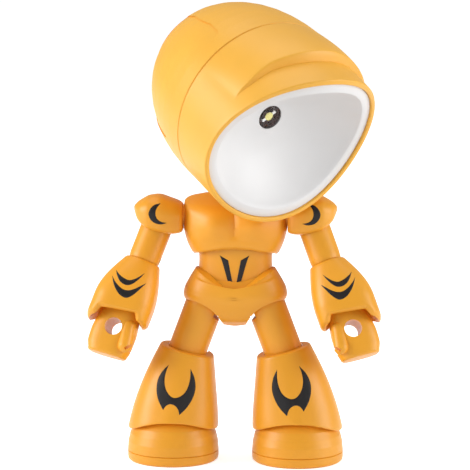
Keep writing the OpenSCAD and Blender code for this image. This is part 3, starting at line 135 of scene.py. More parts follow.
def spline(table, steps):
    """Rows of numbers between those of the table, on monotone cubics over the rows' own spacing."""
    rows = np.array(table, float)
    gaps = np.maximum(np.linalg.norm(np.diff(rows, axis=0), axis=1), 1e-6)
    slopes = np.diff(rows, axis=0) / gaps[:, None]
    tangents = np.zeros_like(rows)
    for j in range(1, len(rows) - 1):
        a, b = slopes[j - 1], slopes[j]
        wa, wb = 2 * gaps[j] + gaps[j - 1], gaps[j] + 2 * gaps[j - 1]
        same = a * b > 0
        safe_a, safe_b = np.where(same, a, 1), np.where(same, b, 1)
        tangents[j] = np.where(same, (wa + wb) / (wa / safe_a + wb / safe_b), 0)
    tangents[0], tangents[-1] = slopes[0], slopes[-1]
    out = []
    for j in range(len(rows) - 1):
        for k in range(steps):
            f = k / steps
            h = gaps[j]
            out.append((2 * f**3 - 3 * f**2 + 1) * rows[j] + (f**3 - 2 * f**2 + f) * h * tangents[j]
                       + (3 * f**2 - 2 * f**3) * rows[j + 1] + (f**3 - f**2) * h * tangents[j + 1])
    out.append(rows[-1])
    return np.array(out)


class Solid:
    """A closed mesh in millimetres, held in a Blender object until it is finished."""

    def __init__(self, points, faces, place=Matrix()):
        mesh = bpy.data.meshes.new("solid")
        mesh.from_pydata([place @ Vector(p) for p in points], [], faces)
        mesh.update()
        self.obj = bpy.data.objects.new("solid", mesh)
        SCENE.collection.objects.link(self.obj)
        shell = bmesh.new()
        shell.from_mesh(mesh)
        if shell.calc_volume(signed=True) < 0:
            bmesh.ops.reverse_faces(shell, faces=shell.faces)
            shell.to_mesh(mesh)
        shell.free()

    def _combine(self, how, others):
        for other in others:
            cutter = self.obj.modifiers.new("combine", "BOOLEAN")
            cutter.operation = how
            cutter.solver = "MANIFOLD"
            cutter.object = other.obj
            bpy.context.view_layer.update()
            made = self.obj.evaluated_get(bpy.context.evaluated_depsgraph_get())
            mesh = bpy.data.meshes.new_from_object(made)
            self.obj.modifiers.clear()
            self.obj.data = mesh
            other.drop()
        return self

    def minus(self, *others):
        return self._combine("DIFFERENCE", others)

    def plus(self, *others):
        return self._combine("UNION", others)

    def both(self, *others):
        return self._combine("INTERSECT", others)

    def copy(self):
        twin = Solid.__new__(Solid)
        twin.obj = self.obj.copy()
        twin.obj.data = self.obj.data.copy()
        SCENE.collection.objects.link(twin.obj)
        return twin

    def mirrored(self):
        twin = self.copy()
        twin.obj.data.transform(Matrix.Scale(-1, 4, (1, 0, 0)))
        twin.obj.data.flip_normals()
        return twin

    def drop(self):
        bpy.data.objects.remove(self.obj)

    def finish(self, name, body, material, node=None, sharp=32):
        mesh = self.obj.data
        mesh.transform(Matrix.Scale(MM, 4))
        mesh.polygons.foreach_set("use_smooth", [True] * len(mesh.polygons))
        mesh.set_sharp_from_angle(angle=math.radians(sharp))
        self.obj.name = name
        mesh.name = name
        dress(mesh, material)
        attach(self.obj, body)
        if node:
            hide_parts(node)
        return self.obj


def loft(rings, place=Matrix(), loop=False):
    """Solid through rings of equally many points: closed by end faces, or ring-shaped as a loop."""
    count = len(rings[0])
    points = [tuple(p) for ring in rings for p in ring]
    spans = range(len(rings) if loop else len(rings) - 1)
    faces = []
    for j in spans:
        low, high = j * count, ((j + 1) % len(rings)) * count
        for i in range(count):
            k = (i + 1) % count
            faces.append((low + i, high + i, high + k, low + k))
    if not loop:
        faces.append(tuple(range(count)))
        faces.append(tuple(reversed(range((len(rings) - 1) * count, len(rings) * count))))
    return Solid(points, faces, place)


def turned(profile, place=Matrix(), sides=96, start=0, sweep=360):
    """Solid turned about Z from a closed outline of (radius, height)."""
    whole = sweep >= 360
    points, index = [], []
    for k in range(sides if whole else sides + 1):
        a = start + sweep * k / sides
        row = []
        for j, (r, z) in enumerate(profile):
            if r < 1e-6 and k > 0:
                row.append(index[0][j])
                continue
            row.append(len(points))
            points.append((r * cos(a), r * sin(a), z))
        index.append(row)
    faces = []
    count = len(profile)
    for k in range(sides):
        here, there = index[k], index[(k + 1) % len(index)]
        for j in range(count):
            n = (j + 1) % count
            face = []
            for v in (here[j], there[j], there[n], here[n]):
                if v not in face:
                    face.append(v)
            if len(face) > 2:
                faces.append(tuple(face))
    if not whole:
        faces.append(tuple(index[0]))
        faces.append(tuple(reversed(index[-1])))
    return Solid(points, faces, place)


def rod(r, low, high, place=Matrix(), sides=64):
    return turned([(0, low), (r, low), (r, high), (0, high)], place, sides)


def rod_x(r, length, place=Matrix()):
    return rod(r, -length / 2, length / 2, place @ ALONG_X)


def rod_y(r, length, place=Matrix()):
    return rod(r, -length / 2, length / 2, place @ ALONG_Y)


def ball(r, place=Matrix()):
    arc = [(r * cos(a), r * sin(a)) for a in range(-86, 87, 4)]
    return turned([(0, -r)] + arc + [(0, r)], place)


def block(sx, sy, sz, place=Matrix()):
    x, y, z = sx / 2, sy / 2, sz / 2
    points = [(i * x, j * y, k * z) for i in (-1, 1) for j in (-1, 1) for k in (-1, 1)]
    faces = [(0, 1, 3, 2), (4, 6, 7, 5), (0, 4, 5, 1), (2, 3, 7, 6), (0, 2, 6, 4), (1, 5, 7, 3)]
    return Solid(points, faces, place)


def slab(outline, thickness, place=Matrix()):
    """Plate of an outline in X and Y, centred on its own middle plane."""
    return loft([[(x, y, z) for x, y in outline] for z in (-thickness / 2, thickness / 2)], place)


# Stands a plate across X, from an outline in Y and Z
ACROSS_X = Matrix(((0, 0, 1, 0), (1, 0, 0, 0), (0, 1, 0, 0), (0, 0, 0, 1)))


def fan(r, w, d0, d1, reach, n=16):
    """Outline of an eye of radius r and its stem of half width w, swept from direction d0 to d1."""
    b = math.degrees(math.asin(w / r))
    return ([(r * cos(mix(d1 + b, d0 - b + 360, k / n)), r * sin(mix(d1 + b, d0 - b + 360, k / n)))
             for k in range(n + 1)]
            + [(reach * cos(d0) + w * sin(d0), reach * sin(d0) - w * cos(d0)),
               (reach * cos(d1) - w * sin(d1), reach * sin(d1) + w * cos(d1))])


# ---- head ----

HEAD_SIDES = 180
ANGLES = [360 * i / HEAD_SIDES for i in range(HEAD_SIDES)]
SEAM, SEAM_DEPTH = 0.2, 0.7
RIM_ROUND_OUT, RIM_ROUND_IN, SEAT_STEP = 0.45, 0.3, 1


# Round the head, a is the angle from the top; along it, s runs from the seam to the rim

def rim_s(a):
    return RIM_REACH + RIM_RAKE * cos(a) + RIM_DIP * cos(2 * a) - RIM_SKEW * cos(3 * a)


def rim_in(a):
    return RIM_R - RIM_NARROW * cos(a) - RIM_WIDE * cos(2 * a)


def off_top(a):
    return abs(a - 360 if a > 180 else a)


def brow(a):
    return cos(90 * off_top(a) / BROW_SPAN) ** 0.8 if off_top(a) < BROW_SPAN else 0


def rim_out(a):
    return rim_in(a) + RIM_WALL + BROW_WALL * brow(a)


def plain(s, a):
    return mix(HEAD_R, rim_out(a), s / rim_s(a))


def crest_s(a):
    """Where the brow is highest: level across the face, bent back at its ends and kept off the rim."""
    share = max(0, cos(min(90, off_top(a) * 90 / (BROW_SPAN + 4)))) ** 2.3
    return min(rim_s(a) - 3.6, mix(RIM_REACH - 3.1, BROW_CREST + 3.8, share),
               BROW_CREST - 1.4 * (1 - max(0, cos(min(90, off_top(a) * 3)))))


def crease_s(a):
    return crest_s(a) + 0.4 + STEP_REACH * brow(a)


def shell_r(s, a):
    return plain(s, a) + BROW_RISE * brow(a) * sin(90 * min(1, s / crest_s(a)))


def head_ring(s_of, r_of):
    return [(r_of(a) * sin(a), r_of(a) * cos(a), s_of(a)) for a in ANGLES]


def fold_height(u):
    """Share of the brow's height left at share u of the way from its crest to the crease."""
    return 1 - u**1.8


def front_shell():
    """Helmet's front: from the seam over the brow and its step to the rounded rim, and back inside."""
    rings = [head_ring(lambda a: 0, lambda a: HEAD_R - SEAM_DEPTH),
             head_ring(lambda a: SEAM, lambda a: HEAD_R - SEAM_DEPTH),
             head_ring(lambda a: SEAM, lambda a: shell_r(SEAM, a) - 0.1),
             head_ring(lambda a: SEAM + 0.1, lambda a: shell_r(SEAM, a))]
    for k in range(1, 25):
        rings.append(head_ring(lambda a: crest_s(a) * k / 24, lambda a: shell_r(crest_s(a) * k / 24, a)))
    for k in range(1, 17):
        u = k / 16
        rings.append(head_ring(lambda a: mix(crest_s(a), crease_s(a), u),
                               lambda a: plain(mix(crest_s(a), crease_s(a), u), a)
                               + BROW_RISE * brow(a) * fold_height(u)))
    edge = RIM_ROUND_OUT
    for k in range(1, 5):
        rings.append(head_ring(lambda a: mix(crease_s(a), rim_s(a) + LIP_H - edge, k / 4),
                               lambda a: plain(mix(crease_s(a), rim_s(a) + LIP_H - edge, k / 4), a)))
    for t in (22, 45, 68, 90):
        rings.append(head_ring(lambda a: rim_s(a) + LIP_H - edge * (1 - sin(t)),
                               lambda a: plain(rim_s(a) + LIP_H - edge, a) - edge * (1 - cos(t))))
    for t in (90, 60, 30, 0):
        rings.append(head_ring(lambda a: rim_s(a) + LIP_H - RIM_ROUND_IN * (1 - sin(t)),
                               lambda a: rim_in(a) + RIM_ROUND_IN * (1 - cos(t))))
    seat = REFLECTOR_WALL
    rings += [head_ring(lambda a: rim_s(a) - seat, lambda a: rim_in(a)),
              head_ring(lambda a: rim_s(a) - seat, lambda a: rim_in(a) - SEAT_STEP),
              head_ring(lambda a: rim_s(a) - seat - 1.2, lambda a: rim_in(a) - SEAT_STEP),
              head_ring(crest_s, lambda a: plain(crease_s(a), a) - 0.8 * HEAD_WALL)]
    for k in (0.93, 0.85, 0.7, 0.5, 0.36):
        rings.append(head_ring(lambda a: crest_s(a) * k, lambda a: shell_r(crest_s(a) * k, a) - HEAD_WALL))
    rings.append(head_ring(lambda a: 0, lambda a: HEAD_R - HEAD_WALL))
    return loft(rings, HEAD, loop=True)


def neck_slot():
    r = NECK_R + GAP
    return slab(fan(r, r, 180 - HEAD_PITCH - 1, 180 - HEAD_PITCH + 36, 14), 2 * r, AT_BALL @ ACROSS_X)


def bowl_ring(f, out):
    ring = []
    for a in ANGLES:
        edge_r, edge_s = rim_in(a) - FLANGE_W, rim_s(a) - 0.15
        r, s = mix(WINDOW_R, edge_r, f) + out, mix(BOWL_BOTTOM, edge_s, f * f) - out
        ring.append((r * sin(a), r * cos(a), s))
    return ring


def flange_ring(down, r_off):
    return head_ring(lambda a: rim_s(a) + down, lambda a: rim_in(a) + r_off)


def bowl():
    """White reflector: a dish with a rounded edge where it meets its flat flange."""
    wall = REFLECTOR_WALL * 0.8
    rings = [bowl_ring(k / 24, 0) for k in range(24)]
    rings += [flange_ring(-0.17, -FLANGE_W - 0.12), flange_ring(-0.06, -FLANGE_W + 0.12),
              flange_ring(-0.03, -FLANGE_W + 0.5), flange_ring(-0.03, -0.3), flange_ring(-0.15, -0.1),
              flange_ring(-REFLECTOR_WALL + 0.02, -0.1),
              flange_ring(-REFLECTOR_WALL + 0.02, -FLANGE_W + wall)]
    rings += [bowl_ring(k / 12, wall) for k in range(11, -1, -1)]
    return loft(rings, HEAD, loop=True)


BOARD_TOP = BOWL_BOTTOM - REFLECTOR_WALL - 0.5
CHIP_W, CHIP_D, CHIP_T = 3.5, 2.8, 0.6
PHOSPHOR_R, PAD_L, PAD_W, PAD_T, PAD_AT = 1.25, 1.2, 0.8, 0.4, 1.62
CUP_STEPS, CUP_TREAD, CUP_RISE, CUP_TOP, CUP_IN = 4, 0.3, 0.22, 0.92, 2.34


def light_chip():
    """Chip on the board: dark base, phosphor disc, two bright pads, and the dark stepped cup round it."""
    base = block(CHIP_W, CHIP_D, CHIP_T, HEAD @ shift(0, 0, BOARD_TOP + CHIP_T / 2))
    z = BOARD_TOP + CHIP_T
    disc = turned([(0, z - 0.1), (PHOSPHOR_R, z - 0.1), (PHOSPHOR_R, z + 0.12), (PHOSPHOR_R - 0.2, z + 0.22),
                   (0, z + 0.26)], HEAD, 8)
    corner = math.degrees(math.atan2(CHIP_D, CHIP_W))
    pads = None
    for k in (-1, 1):
        pad = block(PAD_L, PAD_W, PAD_T, HEAD @ turn("Z", corner) @ shift(k * PAD_AT, 0, z - 0.1))
        pads = pads.plus(pad) if pads else pad
    floor, wall = BOARD_TOP + 0.02, WINDOW_R - 0.1
    steps = [(wall, floor), (wall, BOARD_TOP + CUP_TOP)]
    for k in range(CUP_STEPS):
        r, height = wall - 0.18 - CUP_TREAD * k, BOARD_TOP + CUP_TOP - CUP_RISE * k
        steps += [(r, height), (r - 0.12, height - CUP_RISE)]
    steps[-1] = (CUP_IN, floor)
    return base, disc, pads, turned(steps, HEAD)


# ---- trunk ----

# Up the chest: share of its height, width share, front and back as shares of the depth
CHEST_STATIONS = [[0, 0.815, -1.05, 1.05], [0.05, 0.85, -1.07, 1.07], [0.3, 0.975, -1.08, 1.08],
                  [0.45, 1, -1.08, 1.08], [0.6, 1, -1.04, 1.06], [0.7, 1, -0.95, 1.02],
                  [0.78, 0.995, -0.77, 0.95], [0.86, 0.985, -0.46, 0.87], [0.94, 0.87, -0.08, 0.72],
                  [0.99, 0.6, 0.12, 0.48]]
CHEST_SIDES = 160


def swelling(x, f):
    """How far the breast stands out at x and share f of the height, less the groove in its middle."""
    if f < 0.2 or f > 0.85:
        return 0
    across = 1.1 * sin(min(180, abs(x) * 15)) ** 2 - GROOVE * math.exp(-(x / GROOVE_W) ** 2)
    return BREAST * sin(180 * (f - 0.2) / 0.65) * across


def chest_lift(x, y, f):
    """The hem's arch over the abdomen, and the slope of the shoulders."""
    if f < 0.1:
        return (CHEST_ARCH * max(0, cos(x * 90 / CHEST_A)) ** 1.5 if y < 0 else 0) - CHEST_DROP
    return 0 if f < 0.8 else -0.05 * abs(x) * (f - 0.8) / 0.2


def chest_ring(row, t=0):
    f, wide, front, back = row
    ring = []
    a, b = CHEST_A * wide - t, CHEST_B * (back - front) / 2 - t
    for i in range(CHEST_SIDES):
        x, y = super_point(a, b, CHEST_POWER, 360 * i / CHEST_SIDES)
        raise_z = 0
        if t == 0 and f < 0.3:
            fade = smooth(1 - (f - 0.05) / 0.25)
            raise_z = fade * chest_lift(x, y, 0)
        elif t == 0:
            raise_z = chest_lift(x, y, f)
        ring.append((x, CHEST_B * (front + back) / 2 + y - (swelling(x, f) if y < 0 else 0),
                     CHEST_Z + CHEST_H * f + raise_z))
    return ring


def rounded_foot(rows, r, height):
    """The rows with a rounded lower edge of radius r put below the first one."""
    f, wide, front, back = rows[0]
    foot = []
    for t in (90, 60, 30):
        inset = r * (1 - cos(t))
        foot.append([f + r * (1 - sin(t)) / height, wide - inset / CHEST_A,
                     front + inset / CHEST_B, back - inset / CHEST_B])
    rest = [row for row in rows if row[0] > f + r / height]
    return foot + rest


def chest_form():
    rows = rounded_foot([list(r) for r in spline(CHEST_STATIONS, 7)], 0.5, CHEST_H)
    f, wide, front, back = CHEST_STATIONS[-1]
    rows.append([f + 0.006, wide * 0.75, mix(front, 0.3, 0.25), mix(back, 0.3, 0.25)])
    return loft([chest_ring(row) for row in rows], FIGURE)


ABDOMEN_TOP = CHEST_Z + ABDOMEN_IN
WEB_Z = ABDOMEN_TOP + GAP
PEG_FLANGE_R, PEG_FLANGE_T = PEG_R + 1.1, 1.4
PEG_IN = CHEST_A - 5.4
CHEST_SCREW_X, CHEST_SCREW_Z, CHEST_SCREW_BOSS = NECK_BOSS_R + 2.2, CHEST_TOP - 4, 1.6
SCREW_R, SCREW_HEAD_R = 0.7, 1.4


def half_space(y, side):
    """Everything in front of (side -1) or behind (side 1) the plane at y."""
    return block(100, 100, 300, FIGURE @ shift(0, y + side * 50, 0))


def chest_parts():
    form = chest_form()
    inner = [s for s in CHEST_STATIONS if 0.2 < s[0] < 0.9]
    body = form.copy().minus(loft([chest_ring(s, CHEST_WALL) for s in inner], FIGURE))
    ribs = rod(CHEST_A, WEB_Z, WEB_Z + WEB_T, FIGURE)
    ribs.plus(rod(CHEST_A + 1, CHEST_Z + 0.5, WEB_Z + 0.5, FIGURE))
    sleeve_in = PEG_IN + PEG_FLANGE_T + 0.3
    for x in (-1, 1):
        ribs.plus(rod_x(PEG_R + 1.8, CHEST_A - sleeve_in,
                        FIGURE @ shift(x * (CHEST_A + sleeve_in) / 2, 0, SHOULDER_Z)),
                  rod_y(CHEST_SCREW_BOSS, 3 * CHEST_B, FIGURE @ shift(x * CHEST_SCREW_X, 0, CHEST_SCREW_Z)))
    body.plus(ribs.both(form.copy()))
    a, b = ABDOMEN_A + 0.9, ABDOMEN_B + 1.3
    body.minus(loft([oval(a, b, ABDOMEN_POWER, z) for z in (CHEST_Z - 3, WEB_Z)], FIGURE),
               rod(WAIST_R + FIT, WEB_Z - 1, WEB_Z + WEB_T + 1, FIGURE),
               rod(WAIST_FLANGE_R + GAP, WEB_Z + WEB_T, WEB_Z + WEB_T + WAIST_FLANGE_T + 0.4, FIGURE),
               rod_x(PEG_R + FIT, 3 * CHEST_A, FIGURE @ shift(0, 0, SHOULDER_Z)))
    for x in (-1, 1):
        body.minus(rod_x(PEG_FLANGE_R + GAP, PEG_FLANGE_T + 0.4,
                         FIGURE @ shift(x * (PEG_IN + PEG_FLANGE_T / 2), 0, SHOULDER_Z)))
    neck = FIGURE @ shift(0, NECK_Y, 0)
    boss = rod(NECK_BOSS_R, CHEST_TOP - NECK_BOSS_H, CHEST_TOP + 1, neck).both(form)
    front = body.copy().both(half_space(0, -1)).plus(boss)
    front.minus(rod(SPIGOT_R + FIT, CHEST_TOP - NECK_BOSS_H - 1, CHEST_TOP + 3, neck),
                rod(STEP_R + FIT, CHEST_TOP - STEP_H, CHEST_TOP + 3, neck))
    back = body.both(half_space(0, 1))
    back.minus(rod(NECK_BOSS_R + 0.1, CHEST_TOP - NECK_BOSS_H - GAP - 1, CHEST_TOP + 4, neck))
    for x in (-1, 1):
        at = FIGURE @ shift(x * CHEST_SCREW_X, 0, CHEST_SCREW_Z)
        front.minus(rod(SCREW_R, -3.5, 0.5, at @ ALONG_Y))
        back.minus(rod(SCREW_R + 0.1, -1, 5, at @ ALONG_Y), rod(SCREW_HEAD_R + 0.2, 3.4, 13.4, at @ ALONG_Y))
    return front, back


ABDOMEN_FLOOR = HIP_Z + THIGH_R + GAP + 0.9
KEEL_W, KEEL_H = 8.4, 2.4
PELVIS_FIT = 0.06


def abdomen():
    rows = spline([[ABDOMEN_FLOOR, 0.98], [ABDOMEN_FLOOR + 3, 1], [RIM_Z + ABDOMEN_SHOW / 2, 0.985],
                   [CHEST_Z + 2, 1], [ABDOMEN_TOP, 0.97]], 5)
    solid = loft([oval(ABDOMEN_A * f, ABDOMEN_B * f, ABDOMEN_POWER, z) for z, f in rows], FIGURE)
    return solid.plus(rod(WAIST_R, ABDOMEN_TOP - 1, ABDOMEN_TOP + WEB_T + GAP + 0.2, FIGURE),
                      rod(WAIST_FLANGE_R, WEB_Z + WEB_T + 0.2, WEB_Z + WEB_T + 0.2 + WAIST_FLANGE_T, FIGURE),
                      rod(STUB_R, ABDOMEN_FLOOR - STUB_H, ABDOMEN_FLOOR + 1, FIGURE), abdomen_keel(0))


def abdomen_keel(grow):
    """Middle of the abdomen below its floor, seen in the dip of the pelvis rim."""
    low = ABDOMEN_FLOOR - KEEL_H - grow
    wide = block(KEEL_W + 2 * grow, 40, 8, FIGURE @ shift(0, 0, low + 4))
    return loft([oval(ABDOMEN_A * 0.98 + grow, ABDOMEN_B * 0.98 + grow, ABDOMEN_POWER, z)
                 for z in (low, ABDOMEN_FLOOR + 0.5)], FIGURE).both(wide)


# Up the pelvis: height over the hip axis, width share, depth share
PELVIS_STATIONS = [[-5.6, 0.1, 0.3], [-5.25, 0.26, 0.42], [-4.6, 0.4, 0.54], [-3.9, 0.52, 0.68],
                   [-2.6, 0.68, 0.8], [-0.4, 0.83, 0.9], [1.7, 0.955, 0.97], [3.4, 1, 1], [5.2, 0.98, 1],
                   [8.2, 0.88, 0.97]]


def pelvis_ring(z, a, b, dip):
    ring = []
    for x, y, _ in oval(a, b, PELVIS_POWER, 0):
        share = 1 if y < 0 else DIP_BEHIND
        ring.append((x, y + LEG_Y + PELVIS_FORWARD, z - dip * share * (1 - min(1, abs(x) / a) ** DIP_POWER)))
    return ring


def pelvis_form():
    dip_from = 5
    rows = [[HIP_Z + z, PELVIS_A * a, PELVIS_B * b, 0 if z < dip_from else 0.35 * PELVIS_DIP]
            for z, a, b in PELVIS_STATIONS]
    rows += [[RIM_Z - 0.6, PELVIS_A * 0.79, PELVIS_B * 0.93, PELVIS_DIP],
             [RIM_Z, PELVIS_A * 0.765, PELVIS_B * 0.9, PELVIS_DIP]]
    rings = [pelvis_ring(*row) for row in spline(rows, 7)]
    rings.append(pelvis_ring(RIM_Z, PELVIS_A * 0.6, PELVIS_B * 0.7, PELVIS_DIP))
    return loft(rings, FIGURE)


HIP_SWING, HIP_SPREAD = (-28, 28), (-6, 12)
HIP_CORE_R, HIP_NOSE_R, HIP_FLANGE_R = 3.8, HIP_PEG_R + 1.3, HIP_PEG_R + 1
HIP_FLANGE_X, HIP_ROOM_T = 1.45, 1.5
LEG_HOLE_OUT, LEG_HOLE_DOWN = 4.6, 8.8


def hip_cutters():
    """Room for the thigh's ball, for its swing, for the leg below it, and for the hip peg and its flange."""
    ball_r = THIGH_R + GAP
    at_hip = FIGURE @ shift(HIP_X, LEG_Y, HIP_Z)
    nose_x = -HIP_CORE_R - GAP
    lean = THIGH_SPLAY + HIP_SPREAD[0]
    slope = math.tan(math.radians(lean))
    edge, reach, root = HIP_NOSE_R + FIT, 15, 45
    room = ball(ball_r, at_hip).minus(rod(HIP_NOSE_R, nose_x - 10, nose_x, at_hip @ ALONG_X))
    low = -(ball_r + PELVIS_FIT) / cos(lean)
    wedge = turned([(0, nose_x + 1.1), (edge, nose_x + 1.1), (edge, low + edge * slope),
                    (reach, low + reach * slope), (reach, reach), (0, reach)],
                   at_hip @ ALONG_X, 96, -HIP_SWING[1] - root, HIP_SWING[1] - HIP_SWING[0] + 2 * root)
    return [room, wedge,
            rod_y(LEG_HOLE_R, 3 * PELVIS_B, FIGURE @ shift(HIP_X + LEG_HOLE_OUT, 0, HIP_Z - LEG_HOLE_DOWN)),
            rod_x(HIP_PEG_R + FIT, HIP_X, FIGURE @ shift(HIP_X / 2, LEG_Y, HIP_Z)),
            rod_x(HIP_FLANGE_R + GAP, HIP_ROOM_T, FIGURE @ shift(HIP_FLANGE_X, LEG_Y, HIP_Z))]


def pelvis_parts():
    body = pelvis_form()
    for cutter in hip_cutters():
        twin = cutter.mirrored()
        body.minus(cutter, twin)
    body.minus(loft([oval(ABDOMEN_A + PELVIS_FIT, ABDOMEN_B + PELVIS_FIT, ABDOMEN_POWER, z)
                     for z in (ABDOMEN_FLOOR, RIM_Z + 5)], FIGURE),
               rod(STUB_R + 0.02, ABDOMEN_FLOOR - STUB_H, ABDOMEN_FLOOR + 0.5, FIGURE),
               abdomen_keel(PELVIS_FIT))
    screw = FIGURE @ shift(0, 0, HIP_Z + HIP_PEG_R + 2.6)
    front = body.copy().both(half_space(LEG_Y, -1))
    front.minus(rod(SCREW_R, LEG_Y - 4, LEG_Y + 1, screw @ ALONG_Y))
    back = body.both(half_space(LEG_Y, 1))
    back.minus(rod(SCREW_R + 0.1, LEG_Y - 1, LEG_Y + 11, screw @ ALONG_Y),
               rod(SCREW_HEAD_R + 0.2, 4.2, 13.2, screw @ ALONG_Y))
    return front, back


# ---- limb fittings ----

TONGUE_R, TONGUE_STEM = 2.6, 1.5


def tongue(depth, place):
    return slab(fan(TONGUE_R, TONGUE_STEM, 270, 270, depth), TONGUE_T, place @ ACROSS_X)


# ---- arms ----

PAD_SPREAD = (-12, 8)
PAD_IN = SHOULDER_X - CHEST_A - 0.15
PAD_HALF = 5.35
PAD_BACK = -0.4
PAD_SIDES = 112
KNUCKLE_R, KNUCKLE_T = 3.6, 5
# Along the pad: place, lift, height share, depth share
PAD_STATIONS = [[-PAD_IN, -0.55, 0.72, 0.7], [-PAD_IN + 0.9, -0.4, 0.83, 0.82], [-2.7, 0, 0.945, 0.95],
                [0.2, 0.65, 1, 1], [0.42 * PAD_OUT, 0.95, 0.9, 0.95], [0.7 * PAD_OUT, 1.15, 0.67, 0.79],
                [0.89 * PAD_OUT, 1.5, 0.42, 0.54], [PAD_OUT, 2.1, 0.14, 0.2]]


def pad_form():
    rows = [list(r) for r in spline(PAD_STATIONS, 7)]
    x, lift, high, deep = rows[0]
    rows = [[x, lift, high - 0.07, deep - 0.07], [x + 0.12, lift, high - 0.02, deep - 0.02]] + rows[1:]
    x, lift, high, deep = rows[-1]
    rows.append([x + 0.12, lift + 0.03, high * 0.55, deep * 0.55])
    rings = []
    for x, lift, high, deep in rows:
        ring = []
        for i in range(PAD_SIDES):
            t = 360 * i / PAD_SIDES
            y, z = super_point(PAD_B * deep, PAD_HALF * high, 2.3 if t < 180 else 5, t)
            ring.append((x, y + PAD_BACK, z + lift))
        rings.append(ring)
    return loft(rings, AT_SHOULDER @ turn("X", ARM_SWING))


def arm_room():
    """Hollow of the pad, in which the top of the arm spreads."""
    r = ARM_R + GAP
    middle = ARM_SPLAY + sum(PAD_SPREAD) / 2
    half = (PAD_SPREAD[1] - PAD_SPREAD[0]) / 2
    steps = [[-0.995, 0.1], [-0.8, 0.6], [-0.45, 0.893], [0, 1], [1, 1], [3.6, 1]]
    rings = []
    for down, f in steps:
        wide = r * f + r * max(0, down) * math.tan(math.radians(half))
        rings.append(oval(wide, r * f, 2.05, -r * down, PAD_SIDES))
    return loft(rings, AT_SHOULDER @ turn("Y", -middle))


def shoulder_pad():
    pad = pad_form().minus(arm_room())
    for y in (-1, 1):
        pad.plus(rod_y(KNUCKLE_R, 2.4, AT_SHOULDER @ shift(0, y * (KNUCKLE_T / 2 + 1.35), 0)))
    pad.plus(turned([(0, 0), (PEG_FLANGE_R, 0), (PEG_FLANGE_R, PEG_FLANGE_T), (PEG_R, PEG_FLANGE_T),
                     (PEG_R, CHEST_A - PEG_IN + 0.6), (0, CHEST_A - PEG_IN + 0.6)],
                    AT_SHOULDER @ shift(-SHOULDER_X + PEG_IN, 0, 0) @ ALONG_X))
    return pad.minus(rod(PIN_R, -KNUCKLE_T / 2 - 1.4, 17, AT_SHOULDER @ ALONG_Y))


GAUNTLET_TOP, CUFF_ROOF = 1.45, 15.2
GAUNTLET_SLANT, NOTCH_FLANK = 1.3, 0.6
GAUNTLET_ROOT, GAUNTLET_OUT, TUCK_A, TUCK_B, TUCK_H = ARM_R + 0.55, 0.8, 0.8, 0.65, 2
NOTCH_FROM = 12
SNAP, SNAP_H, WRIST_LEN = 0.25, 3.5, 6


def gauntlet_ring(t, w, sides=128):
    """Ring at distance t below the elbow, w inside the skin: round at the top, squarer at the hem."""
    f = min(1, (t - GAUNTLET_TOP) / (0.62 * GAUNTLET_LEN))
    tuck = max(0, (t - GAUNTLET_LEN + TUCK_H) / TUCK_H)
    a = mix(GAUNTLET_ROOT, GAUNTLET_A, sin(90 * f)) - TUCK_A * tuck * tuck - w
    b = mix(GAUNTLET_ROOT, GAUNTLET_B, sin(90 * f)) - TUCK_B * tuck * tuck - w
    lower = max(0, (t - NOTCH_FROM) / (GAUNTLET_LEN - NOTCH_FROM)) ** 1.5
    ring = []
    for i in range(sides):
        x, y = super_point(a, b, mix(2, 3.3, f), 360 * i / sides)
        notch = min(1, abs(y) / (0.8 * b)) ** 2 * (1 - NOTCH_FLANK * smooth((abs(x) / a - 0.62) / 0.2))
        rise = lower * (GAUNTLET_ARCH * notch - GAUNTLET_SLANT * x / a)
        ring.append((x + GAUNTLET_OUT * sin(90 * f), y, -t + rise))
    return ring


def snap_peg(r, snap, flat, foot, low, above, place):
    """Wrist peg, or its bore: a rod from low to above the wrist's length, with the snap ring round it."""
    ring_z, top = -CUFF_ROOF + SNAP_H, -CUFF_ROOF + WRIST_LEN + above
    return turned([(0, low), (r, low), (r, ring_z - foot), (r + snap, ring_z - flat),
                   (r + snap, ring_z + flat), (r, ring_z + foot), (r, top), (0, top)], place)


def gauntlet():
    edge = 0.6
    end = GAUNTLET_LEN
    rings = [gauntlet_ring(end - edge * (1 - sin(t)), edge * (1 - cos(t))) for t in (90, 70, 50, 30, 12)]
    rings += [gauntlet_ring(t, 0) for t in np.linspace(end - edge - 0.15, 5, 26)]
    rings += [gauntlet_ring(t, 0) for t in (4.2, 3.4, 2.7, 2.1)]
    rings += [gauntlet_ring(GAUNTLET_TOP + 0.3, 0.05), gauntlet_ring(GAUNTLET_TOP + 0.08, 0.22),
              gauntlet_ring(GAUNTLET_TOP, 0.5)]
    cuff = gauntlet_ring(end - 2.2, CUFF_WALL)
    solid = loft(rings, AT_ELBOW).minus(
        ball(ARM_R + GAP, AT_ELBOW),
        loft([[(x, y, -t) for x, y, _ in cuff] for t in (end + 3, CUFF_ROOF)], AT_ELBOW))
    solid.plus(tongue(ARM_R + 2, AT_ELBOW))
    return solid.minus(rod_x(PIN_R + FIT, 2 * TONGUE_T, AT_ELBOW),
                       snap_peg(WRIST_R + FIT, SNAP + 0.1 - FIT, 0.4, 0.9, -CUFF_ROOF - 1, 0.3, AT_ELBOW))


HAND_POWER, HAND_SLANT, HAND_ROUND = 2.9, 0.06, 0.9


def hand_ring(t, c, a, b, sides=112):
    return [(c + x, y, -t - HAND_SLANT * x) for x, y, _ in oval(a, b, HAND_POWER, 0, sides)]


